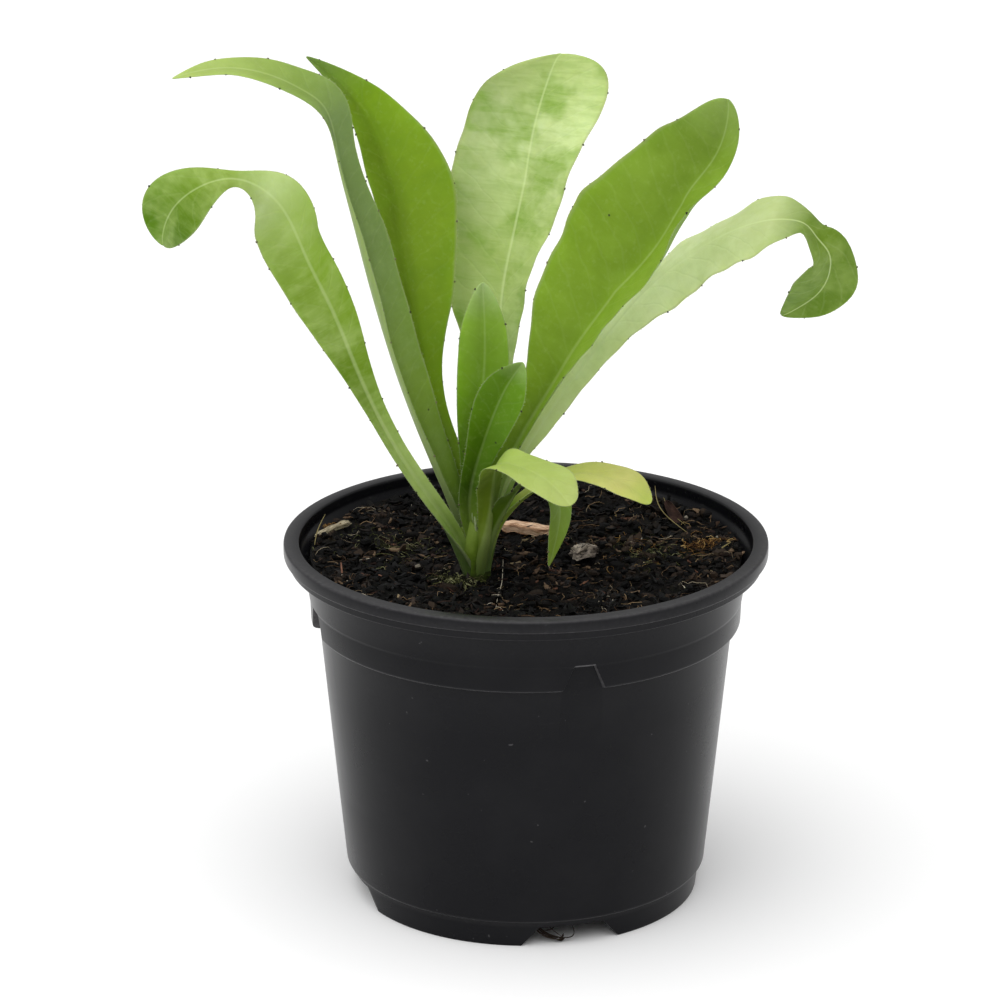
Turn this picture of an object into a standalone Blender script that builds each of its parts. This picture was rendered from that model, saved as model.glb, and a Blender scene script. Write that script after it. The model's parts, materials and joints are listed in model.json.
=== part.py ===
"""A young potted marigold: eleven spatulate leaves on a short crown in a 13 cm round nursery pot.

Sizes below are millimetres in the pot's own frame: its axis is Z, its foot stands on Z = 0, and the side
that is seen first faces -Y. The meshes are made in metres. Bearings are degrees round Z from +X.
"""
import math

import bmesh
import bpy
import numpy as np
from mathutils import Vector

MM = 0.001
GAP = 0.4               # air left between two pieces that touch
SEED = 11

# The pot: a thin moulded shell with a bead rim, a stacking collar and a notched foot.
POT_HEIGHT = 98.5
RIM_RADIUS = 65.0
RIM_FLAT = 4.2          # width of the rim's flat top face
RIM_EDGE = 0.5          # bevel of the rim's two edges
LIP_HEIGHT = 3.3        # the rim's outer face
STEP_HEIGHT = 2.4       # the narrower band under it
STEP_INSET = 1.4
COLLAR_RADIUS = 59.6    # collar just under the rim, which tapers to the shoulder
SHOULDER_RADIUS = 57.8
SHOULDER_HEIGHT = 76.0
BODY_TOP_RADIUS = 55.6
BODY_FOOT_RADIUS = 48.9
WALL = 1.3
FLOOR_UNDERSIDE = 6.0
FLOOR_TOP = 7.8
FOOT_HEIGHT = 7.3
FOOT_RADIUS = 46.7
FOOT_TOP_RADIUS = 47.6
FOOT_WALL = 2.0
POT_SEGMENTS = 60

# Four foot notches, collar recesses and drain slots share their bearings, the first right of the front.
NOTCHES = 4
NOTCH_BEARING = -75.0
NOTCH_TOP = 5.6
NOTCH_HALF_TOP = 11.0   # half widths in degrees
NOTCH_HALF_BOTTOM = 17.0
RECESS_TOP = 83.0
RECESS_HALF_TOP = 2.9
RECESS_HALF_BOTTOM = 5.9
DRAIN_RADIUS = 37.5     # middle of each drain slot in the floor
DRAIN_SIZE = (9.0, 14.0)

# The soil: a peaty fill, dished towards the crown, with a relief of low lumps.
SOIL_LEVEL = 92.0
SOIL_RISE = 2.8
SOIL_RADIUS = 60.0
SOIL_LUMPS = 46
SOIL_LUMP_HEIGHT = 1.3
SOIL_RINGS = 11
SOIL_SEGMENTS = 48

# The crown: a short stem with three ledges that the leaf stalks stand on, over a tap root in the soil.
# Each ledge has a height over the soil, its own radius, and the radius that the stalks stand at.
CROWN = (-13.0, -10.0)
LEDGES = ((2.4, 5.6, 4.9), (5.4, 4.0, 3.3), (8.4, 2.0, 1.2))
ROOT_TOP_RADIUS = 4.6
ROOT_TIP_RADIUS = 1.2
ROOT_LENGTH = 32.0

BLADE = 0.62            # thickness of a leaf blade
RIB = 0.7               # how much thicker the midrib is at the stalk
RIB_WIDTH = 1.8
STALK_LIFT = 0.7        # how far a stalk's foot stands over its ledge
STALK_HALF_WIDTH = 0.95

# Each leaf: its ledge and its bearing round the crown, then a row for each station of its midrib from the
# stalk to the tip, measured from the crown's middle at soil level: x, y, z, half width of the blade, and
# roll in degrees about the midrib, 0 where the upper face looks to -Y. fold closes the two halves towards
# the upper face, in degrees, read evenly along the leaf. blunt rounds the tip. waves and wave ripple the
# margin. detail is the number of steps along the leaf and across it.
LEAVES = {
    "leaf_left_low": dict(
        ledge=0, bearing=205, fold=(30, 28, 20, -5, -20, 5, 28), blunt=7, waves=4, wave=0.8, detail=(26, 6),
        rows=((-8.5, -7, 14, 2.4, -38), (-18, -12, 35, 3, -28), (-32, -17, 61.5, 5.2, -26),
              (-39.5, -22, 81.5, 7.6, -25), (-45, -28, 102, 9.8, -38), (-52, -34, 114.5, 8.8, -45),
              (-59.5, -38, 119, 2.6, -55), (-68, -41, 116.5, 9.5, -48), (-75, -43, 110.5, 14.5, -42),
              (-78, -43, 101.5, 11, -38))),
    "leaf_left_high": dict(
        ledge=1, bearing=170, fold=(30, 32, 28, 26, 25, 10, 5), blunt=6, waves=3, wave=0.7, detail=(26, 6),
        rows=((-7.5, 0, 19, 3.6, -60), (-14, -2, 42, 5.4, -58), (-24, -6, 72, 7.2, -58),
              (-30.5, -10, 101.5, 7.4, -58), (-36, -12, 122, 7.6, -58), (-44, -13, 134.5, 9, -62),
              (-55.5, -14, 140, 7.2, -64), (-66, -15, 141, 4.8, -64), (-77, -16, 139, 2.4, -64))),
    "leaf_back_left": dict(
        ledge=1, bearing=112, fold=(30, 30, 25, 25, 25), blunt=8, waves=4, wave=0.8, detail=(26, 6),
        rows=((-4.5, 6, 21.5, 3.2, -10), (-12, 9, 42.5, 5.5, -15), (-18, 12, 58.5, 9.5, -20),
              (-19.5, 14, 73.5, 13.2, -25), (-18.5, 16, 87.5, 14.2, -25), (-19, 18, 101, 12.5, -25),
              (-23.5, 20, 114, 10, -28), (-30, 21, 124, 7.4, -35), (-37.5, 21, 131.5, 4.4, -40),
              (-44.5, 20, 136, 2.5, -45))),
    "leaf_back": dict(
        ledge=1, bearing=60, fold=(30, 30, 22, 18, 12), blunt=16, waves=5, wave=1.0, detail=(26, 6),
        rows=((2.5, 10, 25.5, 4.5, 20), (4, 16, 49, 7.5, 35), (5.5, 20, 70, 12, 38), (8, 24, 88, 17, 36),
              (12, 27, 105, 19.5, 32), (18.5, 30, 120, 18, 20), (27.5, 32, 132, 13.5, 5))),
    "leaf_right_high": dict(
        ledge=1, bearing=-38, fold=(30, 38, 36, 36, 22), blunt=7, waves=5, wave=0.8, detail=(26, 6),
        rows=((8, 0, 31, 4, 40), (17, -1, 50, 6.6, 35), (27, -2, 65, 13.4, 45), (37.5, -3, 80.5, 20.5, 52),
              (46, -4, 95, 20.5, 50), (53.5, -5, 107, 18, 42), (59.5, -6, 118, 14.5, 30),
              (64.5, -7, 131.5, 10, 12))),
    "leaf_right_low": dict(
        ledge=1, bearing=10, fold=(30, 20, 0, -10, -10, 5, 20), blunt=6, waves=6, wave=0.7, detail=(30, 6),
        rows=((11, 4, 25, 3.4, 75), (22, 7, 45, 5.5, 70), (34, 9, 62, 8.5, 72), (46, 9, 76.5, 11, 74),
              (58.5, 7, 86.5, 12, 76), (71, 4, 94.5, 12, 76), (81.5, 1, 98.5, 9.5, 74), (90, -1, 94, 7, 55),
              (92, -1, 85.5, 11.2, 48), (87.5, 0, 76.5, 10, 42), (79.5, 1, 71.5, 3.5, 35))),
    "leaf_centre_tall": dict(
        ledge=2, bearing=90, fold=(30, 35, 30, 30, 25), blunt=6, waves=3, wave=0.4, detail=(16, 4),
        rows=((-1.5, 1, 31.5, 3.4, 0), (-0.5, 2, 48, 5.6, 0), (2, 3, 59, 7.6, 5), (2.5, 3, 69, 8.4, 5),
              (1.5, 2, 80, 6, 0))),
    "leaf_centre_short": dict(
        ledge=2, bearing=-90, fold=(30, 35, 30, 30, 25), blunt=8, waves=3, wave=0.4, detail=(16, 4),
        rows=((-2, -4, 22, 3, 0), (0, -8, 37, 5, 0), (4, -12, 49, 7.2, 5), (9, -13, 57, 7.2, 5),
              (12, -14, 63, 5, 0))),
    "leaf_front_bright": dict(
        ledge=0, bearing=262, fold=(30, 25, 10, 5, 0), blunt=6, waves=3, wave=0.5, detail=(18, 4),
        rows=((1, -12, 16.5, 3, 130), (3, -19, 30, 4.8, 122), (8, -26, 38, 7, 100), (15, -34, 39.5, 8.8, 82),
              (20.5, -41, 37, 8, 65), (25.5, -46, 33.5, 4, 50))),
    "leaf_front_hanging": dict(
        ledge=0, bearing=311, fold=(30, 25, 10, 5, 0), blunt=4, waves=3, wave=0.5, detail=(20, 4),
        rows=((5.5, -7, 15, 3, 130), (8, -11, 24, 4.5, 120), (12, -16, 30.5, 5.5, 105),
              (16.5, -22, 33.5, 6, 90), (21, -27, 30, 6, 65), (21.5, -30, 23, 4.8, 48),
              (18.5, -32, 13.5, 1.6, 40))),
    "leaf_right_yellow": dict(
        ledge=0, bearing=357, fold=(30, 25, 10, 5, 0), blunt=7, waves=3, wave=0.5, detail=(18, 4),
        rows=((10.5, 2, 15.5, 3, 90), (19.5, 4, 25.5, 5, 88), (28, 2, 29, 7, 82), (35.5, -1, 28, 9.5, 80),
              (42, -4, 26, 9.2, 78), (46, -6, 22.5, 7, 75))),
}
YOUNG_LEAVES = ("leaf_centre_tall", "leaf_centre_short")
PALE_LEAVES = ("leaf_front_bright", "leaf_right_yellow")

# Loose pieces lying on the soil: place, then length, width and thickness, and bearing.
CHIPS = {
    "wood_chip_tan": dict(place=(0.0, 19.5), size=(14.0, 4.2, 1.6), bearing=-28, colour="wood"),
    "wood_chip_pale": dict(place=(-51.0, 17.5), size=(12.5, 3.2, 1.3), bearing=48, colour="wood"),
    "bark_piece": dict(place=(15.5, 0.5), size=(8.0, 6.0, 3.0), bearing=25, colour="bark"),
}

# The root that comes down from the drain slot into the front notch and bends along the ground.
DRAIN_ROOT = ((6.0, -40.5, 5.4), (3.2, -43.0, 4.2), (5.0, -44.0, 2.6), (9.0, -44.2, 1.4), (12.6, -43.6, 1.9),
              (12.2, -42.6, 4.6))
ROOT_STRAND = 0.5       # radius

COLOURS = {
    "pot": (0.020, 0.020, 0.023), "soil": (0.022, 0.015, 0.010), "crown": (0.16, 0.27, 0.05),
    "leaf": (0.24, 0.42, 0.06), "young_leaf": (0.13, 0.30, 0.03), "pale_leaf": (0.45, 0.58, 0.19),
    "wood": (0.52, 0.33, 0.18), "bark": (0.12, 0.09, 0.07), "root": (0.05, 0.04, 0.03),
}
ROUGHNESS = {"pot": 0.45, "soil": 0.95, "wood": 0.8, "bark": 0.9, "root": 0.8}
LEAF_ROUGHNESS = 0.5


def clear_scene():
    """Remove whatever objects the file was opened with."""
    for obj in list(bpy.data.objects):
        bpy.data.objects.remove(obj, do_unlink=True)


def make_material(name):
    """A plain Principled BSDF in one of the colours above."""
    material = bpy.data.materials.new(name)
    material.use_nodes = True
    shader = material.node_tree.nodes["Principled BSDF"]
    shader.inputs["Base Color"].default_value = (*COLOURS[name], 1.0)
    shader.inputs["Roughness"].default_value = ROUGHNESS.get(name, LEAF_ROUGHNESS)
    shader.inputs["Metallic"].default_value = 0.0
    return material


def make_object(name, mesh, material):
    """Put a mesh in the scene, smooth but for its sharp edges."""
    obj = bpy.data.objects.new(name, mesh)
    bpy.context.scene.collection.objects.link(obj)
    obj.data.materials.append(material)
    mesh.shade_smooth()
    mesh.set_sharp_from_angle(angle=math.radians(35))
    return obj


def finish_mesh(name, bm):
    """Turn a bmesh in millimetres into a mesh in metres, in triangles that face outwards."""
    bmesh.ops.recalc_face_normals(bm, faces=bm.faces)
    bmesh.ops.triangulate(bm, faces=bm.faces)
    bmesh.ops.scale(bm, vec=Vector((MM, MM, MM)), verts=bm.verts)
    mesh = bpy.data.meshes.new(name)
    bm.to_mesh(mesh)
    bm.free()
    return mesh


def turned(name, profile, segments, centre=(0.0, 0.0)):
    """Turn a profile of (radius, z) points, from the axis round to the axis, about a vertical axis."""
    bm = bmesh.new()
    verts = [bm.verts.new((centre[0] + r, centre[1], z)) for r, z in profile]
    edges = [bm.edges.new(pair) for pair in zip(verts, verts[1:])]
    bmesh.ops.spin(bm, geom=verts + edges, cent=(*centre, 0.0), axis=(0, 0, 1), angle=2 * math.pi,
                   steps=segments, use_merge=True)
    bmesh.ops.remove_doubles(bm, verts=bm.verts, dist=0.001)
    return finish_mesh(name, bm)


def cutter(mesh):
    """A Boolean's tool: an object that is never rendered."""
    obj = bpy.data.objects.new(mesh.name, mesh)
    bpy.context.scene.collection.objects.link(obj)
    obj.hide_render = True
    obj.display_type = "WIRE"
    return obj


def sector_cutter(name, bearing, inner, outer, low, high):
    """A block between two walls round the axis: inner and outer are the walls' radii at the bottom and at
    the top, low and high are the (z, half width in degrees) of the bottom and of the top."""
    bm = bmesh.new()
    columns = 5
    rings = []
    for radii in (inner, outer):
        for (z, half), radius in zip((low, high), radii):
            angles = np.radians(bearing + half * np.linspace(-1, 1, columns))
            rings.append([bm.verts.new((radius * math.cos(a), radius * math.sin(a), z)) for a in angles])
    low_in, high_in, low_out, high_out = rings
    for a, b in ((low_in, high_in), (high_in, high_out), (high_out, low_out), (low_out, low_in)):
        for i in range(columns - 1):
            bm.faces.new((a[i], a[i + 1], b[i + 1], b[i]))
    for i in (0, columns - 1):
        bm.faces.new((low_in[i], high_in[i], high_out[i], low_out[i]))
    return cutter(finish_mesh(name, bm))


def cut(obj, tools):
    """Subtract the tools from the object, apply the result and remove the tools."""
    for tool in tools:
        modifier = obj.modifiers.new(tool.name, "BOOLEAN")
        modifier.operation = "DIFFERENCE"
        modifier.solver = "EXACT"
        modifier.object = tool
    bpy.context.view_layer.update()
    evaluated = obj.evaluated_get(bpy.context.evaluated_depsgraph_get())
    mesh = bpy.data.meshes.new_from_object(evaluated)
    obj.modifiers.clear()
    obj.data = mesh
    mesh.name = obj.name
    for tool in tools:
        bpy.data.objects.remove(tool, do_unlink=True)


def body_radius(z):
    """Outer radius of the pot's tapered body, carried on past the shoulder behind the recesses."""
    share = (z - FOOT_HEIGHT) / (SHOULDER_HEIGHT - FOOT_HEIGHT)
    return BODY_FOOT_RADIUS + (BODY_TOP_RADIUS - BODY_FOOT_RADIUS) * share


def inner_profile():
    """The pot's inner face from the floor to the rim, as (radius, z)."""
    collar_z = RECESS_TOP + 5.0
    lip_z = POT_HEIGHT - LIP_HEIGHT
    mouth = RIM_RADIUS - RIM_FLAT
    return [(body_radius(FLOOR_TOP) - WALL, FLOOR_TOP), (body_radius(RECESS_TOP + 1) - WALL, RECESS_TOP + 1),
            (COLLAR_RADIUS - WALL - 0.3, collar_z), (COLLAR_RADIUS - WALL, lip_z - STEP_HEIGHT - 0.3),
            (mouth, lip_z), (mouth, POT_HEIGHT - RIM_EDGE), (mouth + RIM_EDGE, POT_HEIGHT)]


def inner_radius(z):
    """Radius of the pot's inner face at one height."""
    radii, heights = zip(*inner_profile())
    return float(np.interp(z, heights, radii))


def outer_profile():
    """The pot's outer face from the rim to the foot, as (radius, z)."""
    lip_z = POT_HEIGHT - LIP_HEIGHT
    step_z = lip_z - STEP_HEIGHT
    step_radius = RIM_RADIUS - STEP_INSET
    slope = 0.1         # keeps each step's underside a little off level
    return [(RIM_RADIUS - RIM_EDGE, POT_HEIGHT), (RIM_RADIUS, POT_HEIGHT - RIM_EDGE), (RIM_RADIUS, lip_z),
            (step_radius, lip_z - slope), (step_radius, step_z), (COLLAR_RADIUS, step_z - slope),
            (SHOULDER_RADIUS, SHOULDER_HEIGHT + 0.7), (SHOULDER_RADIUS - 0.6, SHOULDER_HEIGHT),
            (BODY_TOP_RADIUS, SHOULDER_HEIGHT - slope), (BODY_FOOT_RADIUS, FOOT_HEIGHT + 0.5),
            (BODY_FOOT_RADIUS - 0.5, FOOT_HEIGHT), (FOOT_TOP_RADIUS, FOOT_HEIGHT - slope), (FOOT_RADIUS, 0.0)]


def make_pot(material):
    """Turn the shell, then cut its foot notches, collar recesses and drain slots."""
    skirt_inside = FOOT_RADIUS - FOOT_WALL
    underside = [(skirt_inside, 0.0), (skirt_inside, FLOOR_UNDERSIDE), (0.0, FLOOR_UNDERSIDE)]
    profile = [(0.0, FLOOR_TOP)] + inner_profile() + outer_profile() + underside
    pot = make_object("pot", turned("pot", profile, POT_SEGMENTS), material)
    tools = []
    for index in range(NOTCHES):
        bearing = NOTCH_BEARING + 360.0 * index / NOTCHES
        reach_in, reach_out = skirt_inside - 4, FOOT_RADIUS + 5
        tools.append(sector_cutter("notch", bearing, (reach_in, reach_in), (reach_out, reach_out),
                                   (-1.0, NOTCH_HALF_BOTTOM + 1.0), (NOTCH_TOP, NOTCH_HALF_TOP)))
        flush = 0.12    # the recess stays this much proud of the body below it
        tools.append(sector_cutter("recess", bearing, (BODY_TOP_RADIUS + flush, body_radius(RECESS_TOP) + flush),
                                   (RIM_RADIUS, RIM_RADIUS), (SHOULDER_HEIGHT - 1.0, RECESS_HALF_BOTTOM + 0.4),
                                   (RECESS_TOP, RECESS_HALF_TOP)))
        half = math.degrees(DRAIN_SIZE[1] / 2 / DRAIN_RADIUS)
        near, far = DRAIN_RADIUS - DRAIN_SIZE[0] / 2, DRAIN_RADIUS + DRAIN_SIZE[0] / 2
        tools.append(sector_cutter("drain", bearing, (near, near), (far, far),
                                   (FLOOR_UNDERSIDE - 1, half), (FLOOR_TOP + 1, half)))
    cut(pot, tools)


def soil_lumps():
    """Seeded places, sizes and heights of the soil's low lumps."""
    rng = np.random.default_rng(SEED)
    angle = rng.uniform(0, 2 * math.pi, SOIL_LUMPS)
    radius = SOIL_RADIUS * np.sqrt(rng.uniform(0, 1, SOIL_LUMPS))
    size = rng.uniform(4.0, 9.0, SOIL_LUMPS)
    height = SOIL_LUMP_HEIGHT * rng.uniform(-0.6, 1.0, SOIL_LUMPS)
    return list(zip(radius * np.cos(angle), radius * np.sin(angle), size, height))


def soil_height(x, y):
    """Soil level: rises with the square of the radius, plus a Gaussian for each lump that fades at the wall."""
    share = (x ** 2 + y ** 2) / SOIL_RADIUS ** 2
    lumps = sum(height * np.exp(-((x - cx) ** 2 + (y - cy) ** 2) / size ** 2)
                for cx, cy, size, height in soil_lumps())
    return SOIL_LEVEL + SOIL_RISE * share + lumps * (1 - share ** 3)


def ring(bm, radius, z):
    """A level ring of vertices, or one raised by a function of x and y."""
    verts = []
    for i in range(SOIL_SEGMENTS):
        a = 2 * math.pi * i / SOIL_SEGMENTS
        x, y = radius * math.cos(a), radius * math.sin(a)
        verts.append(bm.verts.new((x, y, z(x, y) if callable(z) else z)))
    return verts


def make_soil(material):
    """A closed plug that fits the pot's inside, its top a polar grid raised by soil_height, with a plain
    hole for the crown and its root."""
    bm = bmesh.new()
    rings = [ring(bm, SOIL_RADIUS * k / SOIL_RINGS, soil_height) for k in range(1, SOIL_RINGS + 1)]
    for radius, z in reversed(inner_profile()[:4]):
        rings.append(ring(bm, radius - GAP, max(z, FLOOR_TOP + GAP)))
    for upper, lower in zip(rings, rings[1:]):
        for i in range(SOIL_SEGMENTS):
            j = (i + 1) % SOIL_SEGMENTS
            bm.faces.new((upper[i], upper[j], lower[j], lower[i]))
    top = bm.verts.new((0.0, 0.0, soil_height(0.0, 0.0)))
    for i in range(SOIL_SEGMENTS):
        bm.faces.new((top, rings[0][i], rings[0][(i + 1) % SOIL_SEGMENTS]))
    bm.faces.new(rings[-1])
    soil = make_object("soil", finish_mesh("soil", bm), material)
    neck = SOIL_LEVEL - 1.5
    hole = [(0.0, SOIL_LEVEL - ROOT_LENGTH - GAP), (ROOT_TIP_RADIUS + GAP, SOIL_LEVEL - ROOT_LENGTH - GAP),
            (ROOT_TOP_RADIUS + GAP, neck - GAP), (LEDGES[0][1] + GAP, neck),
            (LEDGES[0][1] + GAP, SOIL_LEVEL + 12), (0.0, SOIL_LEVEL + 12)]
    cut(soil, [cutter(turned("hole", hole, 24, CROWN))])


def make_crown(material):
    """The stepped crown over its tapered tap root."""
    profile = [(0.0, SOIL_LEVEL - ROOT_LENGTH), (ROOT_TIP_RADIUS, SOIL_LEVEL - ROOT_LENGTH),
               (ROOT_TOP_RADIUS, SOIL_LEVEL - 1.5), (LEDGES[0][1], SOIL_LEVEL - 1.1)]
    for height, radius, _ in LEDGES:
        if profile[-1][0] > radius:
            profile.append((radius, profile[-1][1]))
        profile.append((radius, SOIL_LEVEL + height))
    profile.append((0.0, profile[-1][1]))
    make_object("crown", turned("crown", profile, 20, CROWN), material)


def spline(values, knots, t):
    """Natural cubic spline through rows of values at the knots, read at every t."""
    n = len(values)
    h = np.diff(knots)
    matrix = np.zeros((n, n))
    right = np.zeros_like(values)
    matrix[0, 0] = matrix[-1, -1] = 1.0
    for i in range(1, n - 1):
        matrix[i, i - 1:i + 2] = h[i - 1], 2 * (h[i - 1] + h[i]), h[i]
        right[i] = 6 * ((values[i + 1] - values[i]) / h[i] - (values[i] - values[i - 1]) / h[i - 1])
    bend = np.linalg.solve(matrix, right)
    k = np.clip(np.searchsorted(knots, t, side="right") - 1, 0, n - 2)
    d = (t - knots[k])[:, None]
    span = h[k][:, None]
    slope = (values[k + 1] - values[k]) / span - span * (2 * bend[k] + bend[k + 1]) / 6
    return values[k] + d * slope + d ** 2 * bend[k] / 2 + d ** 3 * (bend[k + 1] - bend[k]) / (6 * span)


def chord_knots(points):
    """Shares of the chord length at which a curve passes its points."""
    length = np.cumsum(np.linalg.norm(np.diff(points, axis=0), axis=1))
    return np.concatenate([[0.0], length]) / length[-1]


def leaf_rows(leaf):
    """The leaf's stations with its foot in front, on its ledge, its upper face towards the crown's axis."""
    height, _, radius = LEDGES[leaf["ledge"]]
    a = math.radians(leaf["bearing"])
    roll = 90 - leaf["bearing"] if radius > 2 else 0
    next_roll = leaf["rows"][0][4]
    roll = next_roll + (roll - next_roll + 180) % 360 - 180
    foot = (radius * math.cos(a), radius * math.sin(a), height + STALK_LIFT, STALK_HALF_WIDTH, roll)
    return np.array((foot,) + leaf["rows"], float) + (*CROWN, SOIL_LEVEL, 0, 0)


def leaf_surface(leaf, t, s):
    """Middle surface of a leaf at the shares t of its length and s of its half width, -1 to 1.

    The midrib is a spline through the stations. Across it the blade runs straight out to both sides,
    turned by the roll and raised by the fold, and a sine ripples it with the cube of s.
    """
    rows = leaf_rows(leaf)
    knots = chord_knots(rows[:, :3])
    place, half, roll = (spline(rows[:, part], knots, t) for part in (slice(0, 3), slice(3, 4), slice(4, 5)))
    half = np.maximum(half[:, 0], STALK_HALF_WIDTH / 2) * np.sqrt(np.clip(1 - t ** leaf["blunt"], 0, 1))
    fold = np.radians(np.interp(t, np.linspace(0, 1, len(leaf["fold"])), leaf["fold"]))
    step = 1e-4
    along = (spline(rows[:, :3], knots, np.clip(t + step, 0, 1))
             - spline(rows[:, :3], knots, np.clip(t - step, 0, 1)))
    along /= np.linalg.norm(along, axis=1)[:, None]
    front = np.array([0.0, -1.0, 0.0])
    up = front - (along @ front)[:, None] * along
    up /= np.linalg.norm(up, axis=1)[:, None]
    across = np.cross(along, up)
    cos, sin = np.cos(np.radians(roll)), np.sin(np.radians(roll))
    across, up = cos * across + sin * up, cos * up - sin * across
    ripple = leaf["wave"] * np.sin(2 * np.pi * (leaf["waves"] * t[:, None] + 0.31 * np.sign(s)))
    ripple = ripple * np.abs(s) ** 3 * np.clip(half / 12, 0, 1)[:, None]
    out = (half * np.cos(fold))[:, None] * s
    lift = (half * np.sin(fold))[:, None] * np.abs(s) + ripple
    surface = place[:, None, :] + out[:, :, None] * across[:, None, :] + lift[:, :, None] * up[:, None, :]
    return surface, half


def leaf_mesh(name, leaf):
    """A closed blade: the middle surface thickened both ways, and cut into triangles alike on both faces."""
    n_along, n_across = leaf["detail"]
    t = 1 - (1 - np.linspace(0, 1, n_along + 1)) ** 1.2
    s = np.linspace(-1, 1, n_across + 1)
    surface, half = leaf_surface(leaf, t, s)
    normal = np.cross(np.gradient(surface, axis=1), np.gradient(surface, axis=0))[:-1]
    normal /= np.linalg.norm(normal, axis=2)[:, :, None]
    rib = RIB * (1 - t)[:, None] * np.exp(-((half[:, None] * s) / RIB_WIDTH) ** 2)
    offset = normal * ((BLADE + rib) / 2)[:-1, :, None]
    bm = bmesh.new()
    tip = bm.verts.new(surface[-1].mean(axis=0))
    upper, lower = ([[bm.verts.new(point) for point in row] for row in surface[:-1] + side * offset]
                    for side in (-1, 1))
    for sheet in (upper, lower):
        for near, far in zip(sheet, sheet[1:]):
            for j in range(n_across):
                bm.faces.new((near[j], near[j + 1], far[j + 1]))
                bm.faces.new((near[j], far[j + 1], far[j]))
        for j in range(n_across):
            bm.faces.new((sheet[-1][j], sheet[-1][j + 1], tip))
    for j in range(n_across):
        bm.faces.new((upper[0][j], upper[0][j + 1], lower[0][j + 1], lower[0][j]))
    for j in (0, n_across):
        for i in range(n_along - 1):
            bm.faces.new((upper[i][j], upper[i + 1][j], lower[i + 1][j], lower[i][j]))
        bm.faces.new((upper[-1][j], tip, lower[-1][j]))
    return finish_mesh(name, bm)


def make_leaves(materials):
    """Every leaf as its own object."""
    for name, leaf in LEAVES.items():
        kind = "young_leaf" if name in YOUNG_LEAVES else "pale_leaf" if name in PALE_LEAVES else "leaf"
        make_object(name, leaf_mesh(name, leaf), materials[kind])


def make_chip(name, chip, material):
    """A splintered slab with slanted ends, laid level on the highest soil under it."""
    length, width, thick = chip["size"]
    a = math.radians(chip["bearing"])
    turn = np.array(((math.cos(a), math.sin(a)), (-math.sin(a), math.cos(a))))
    rng = np.random.default_rng(SEED + len(name))
    stations = np.linspace(-0.5, 0.5, 5)
    bulge = 0.5 * width * (1 - 4 * np.abs(stations) ** 3)
    sides = [np.stack([stations * length + side * 0.12 * width,
                       side * bulge * rng.uniform(0.85, 1.0, len(stations))], axis=1) for side in (-1, 1)]
    outline = np.concatenate([sides[0], sides[1][::-1]]) @ turn + chip["place"]
    middle = outline.mean(axis=0)
    under = np.concatenate([middle + (outline - middle) * share for share in np.linspace(0, 1.1, 8)])
    base = soil_height(under[:, 0], under[:, 1]).max() + GAP
    bm = bmesh.new()
    rings = []
    for level, shrink in ((0.0, 0.9), (0.3, 1.0), (0.75, 1.0), (1.0, 0.8)):
        rings.append([bm.verts.new((*(middle + (p - middle) * shrink), base + level * thick)) for p in outline])
    for low, high in zip(rings, rings[1:]):
        for i in range(len(outline)):
            j = (i + 1) % len(outline)
            bm.faces.new((low[i], low[j], high[j], high[i]))
    bm.faces.new(rings[0])
    bm.faces.new(rings[-1])
    make_object(name, finish_mesh(name, bm), material)


def make_drain_root(material):
    """One thin root as a round strand on a smooth curve through its points."""
    points = np.array(DRAIN_ROOT)
    path = spline(points, chord_knots(points), np.linspace(0, 1, 16)) * MM
    curve = bpy.data.curves.new("drain_root", "CURVE")
    curve.dimensions = "3D"
    curve.bevel_depth = ROOT_STRAND * MM
    curve.bevel_resolution = 2
    curve.use_fill_caps = True
    line = curve.splines.new("POLY")
    line.points.add(len(path) - 1)
    for point, place in zip(line.points, path):
        point.co = (*place, 1.0)
    curve.materials.append(material)
    root = bpy.data.objects.new("drain_root", curve)
    bpy.context.scene.collection.objects.link(root)


def centre_footprint():
    """Hang every object on one empty that brings the middle of the leaves' and rim's box to the origin."""
    meshes = [obj for obj in bpy.context.scene.objects if obj.type == "MESH"]
    places = np.concatenate([np.array([v.co[:] for v in obj.data.vertices]) for obj in meshes])
    middle = (places.min(axis=0) + places.max(axis=0)) / 2
    frame = bpy.data.objects.new("plant_frame", None)
    bpy.context.scene.collection.objects.link(frame)
    frame.location = (-middle[0], -middle[1], 0.0)
    for obj in bpy.context.scene.objects:
        if obj != frame:
            obj.parent = frame
    bpy.context.view_layer.update()


def main():
    """Build the whole plant."""
    clear_scene()
    materials = {name: make_material(name) for name in COLOURS}
    make_pot(materials["pot"])
    make_soil(materials["soil"])
    make_crown(materials["crown"])
    make_leaves(materials)
    for name, chip in CHIPS.items():
        make_chip(name, chip, materials[chip["colour"]])
    make_drain_root(materials["root"])
    centre_footprint()


main()
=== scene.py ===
"""The finish of a young potted marigold: a dusty black nursery pot, fibrous peat and soft hairy leaves.

Sizes are millimetres in the pot's own frame: its axis is Z, its foot stands on Z = 0 and -Y is the side that
is seen first. place() moves points from there to the model's frame, in metres.
"""

import json
import math

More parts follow.
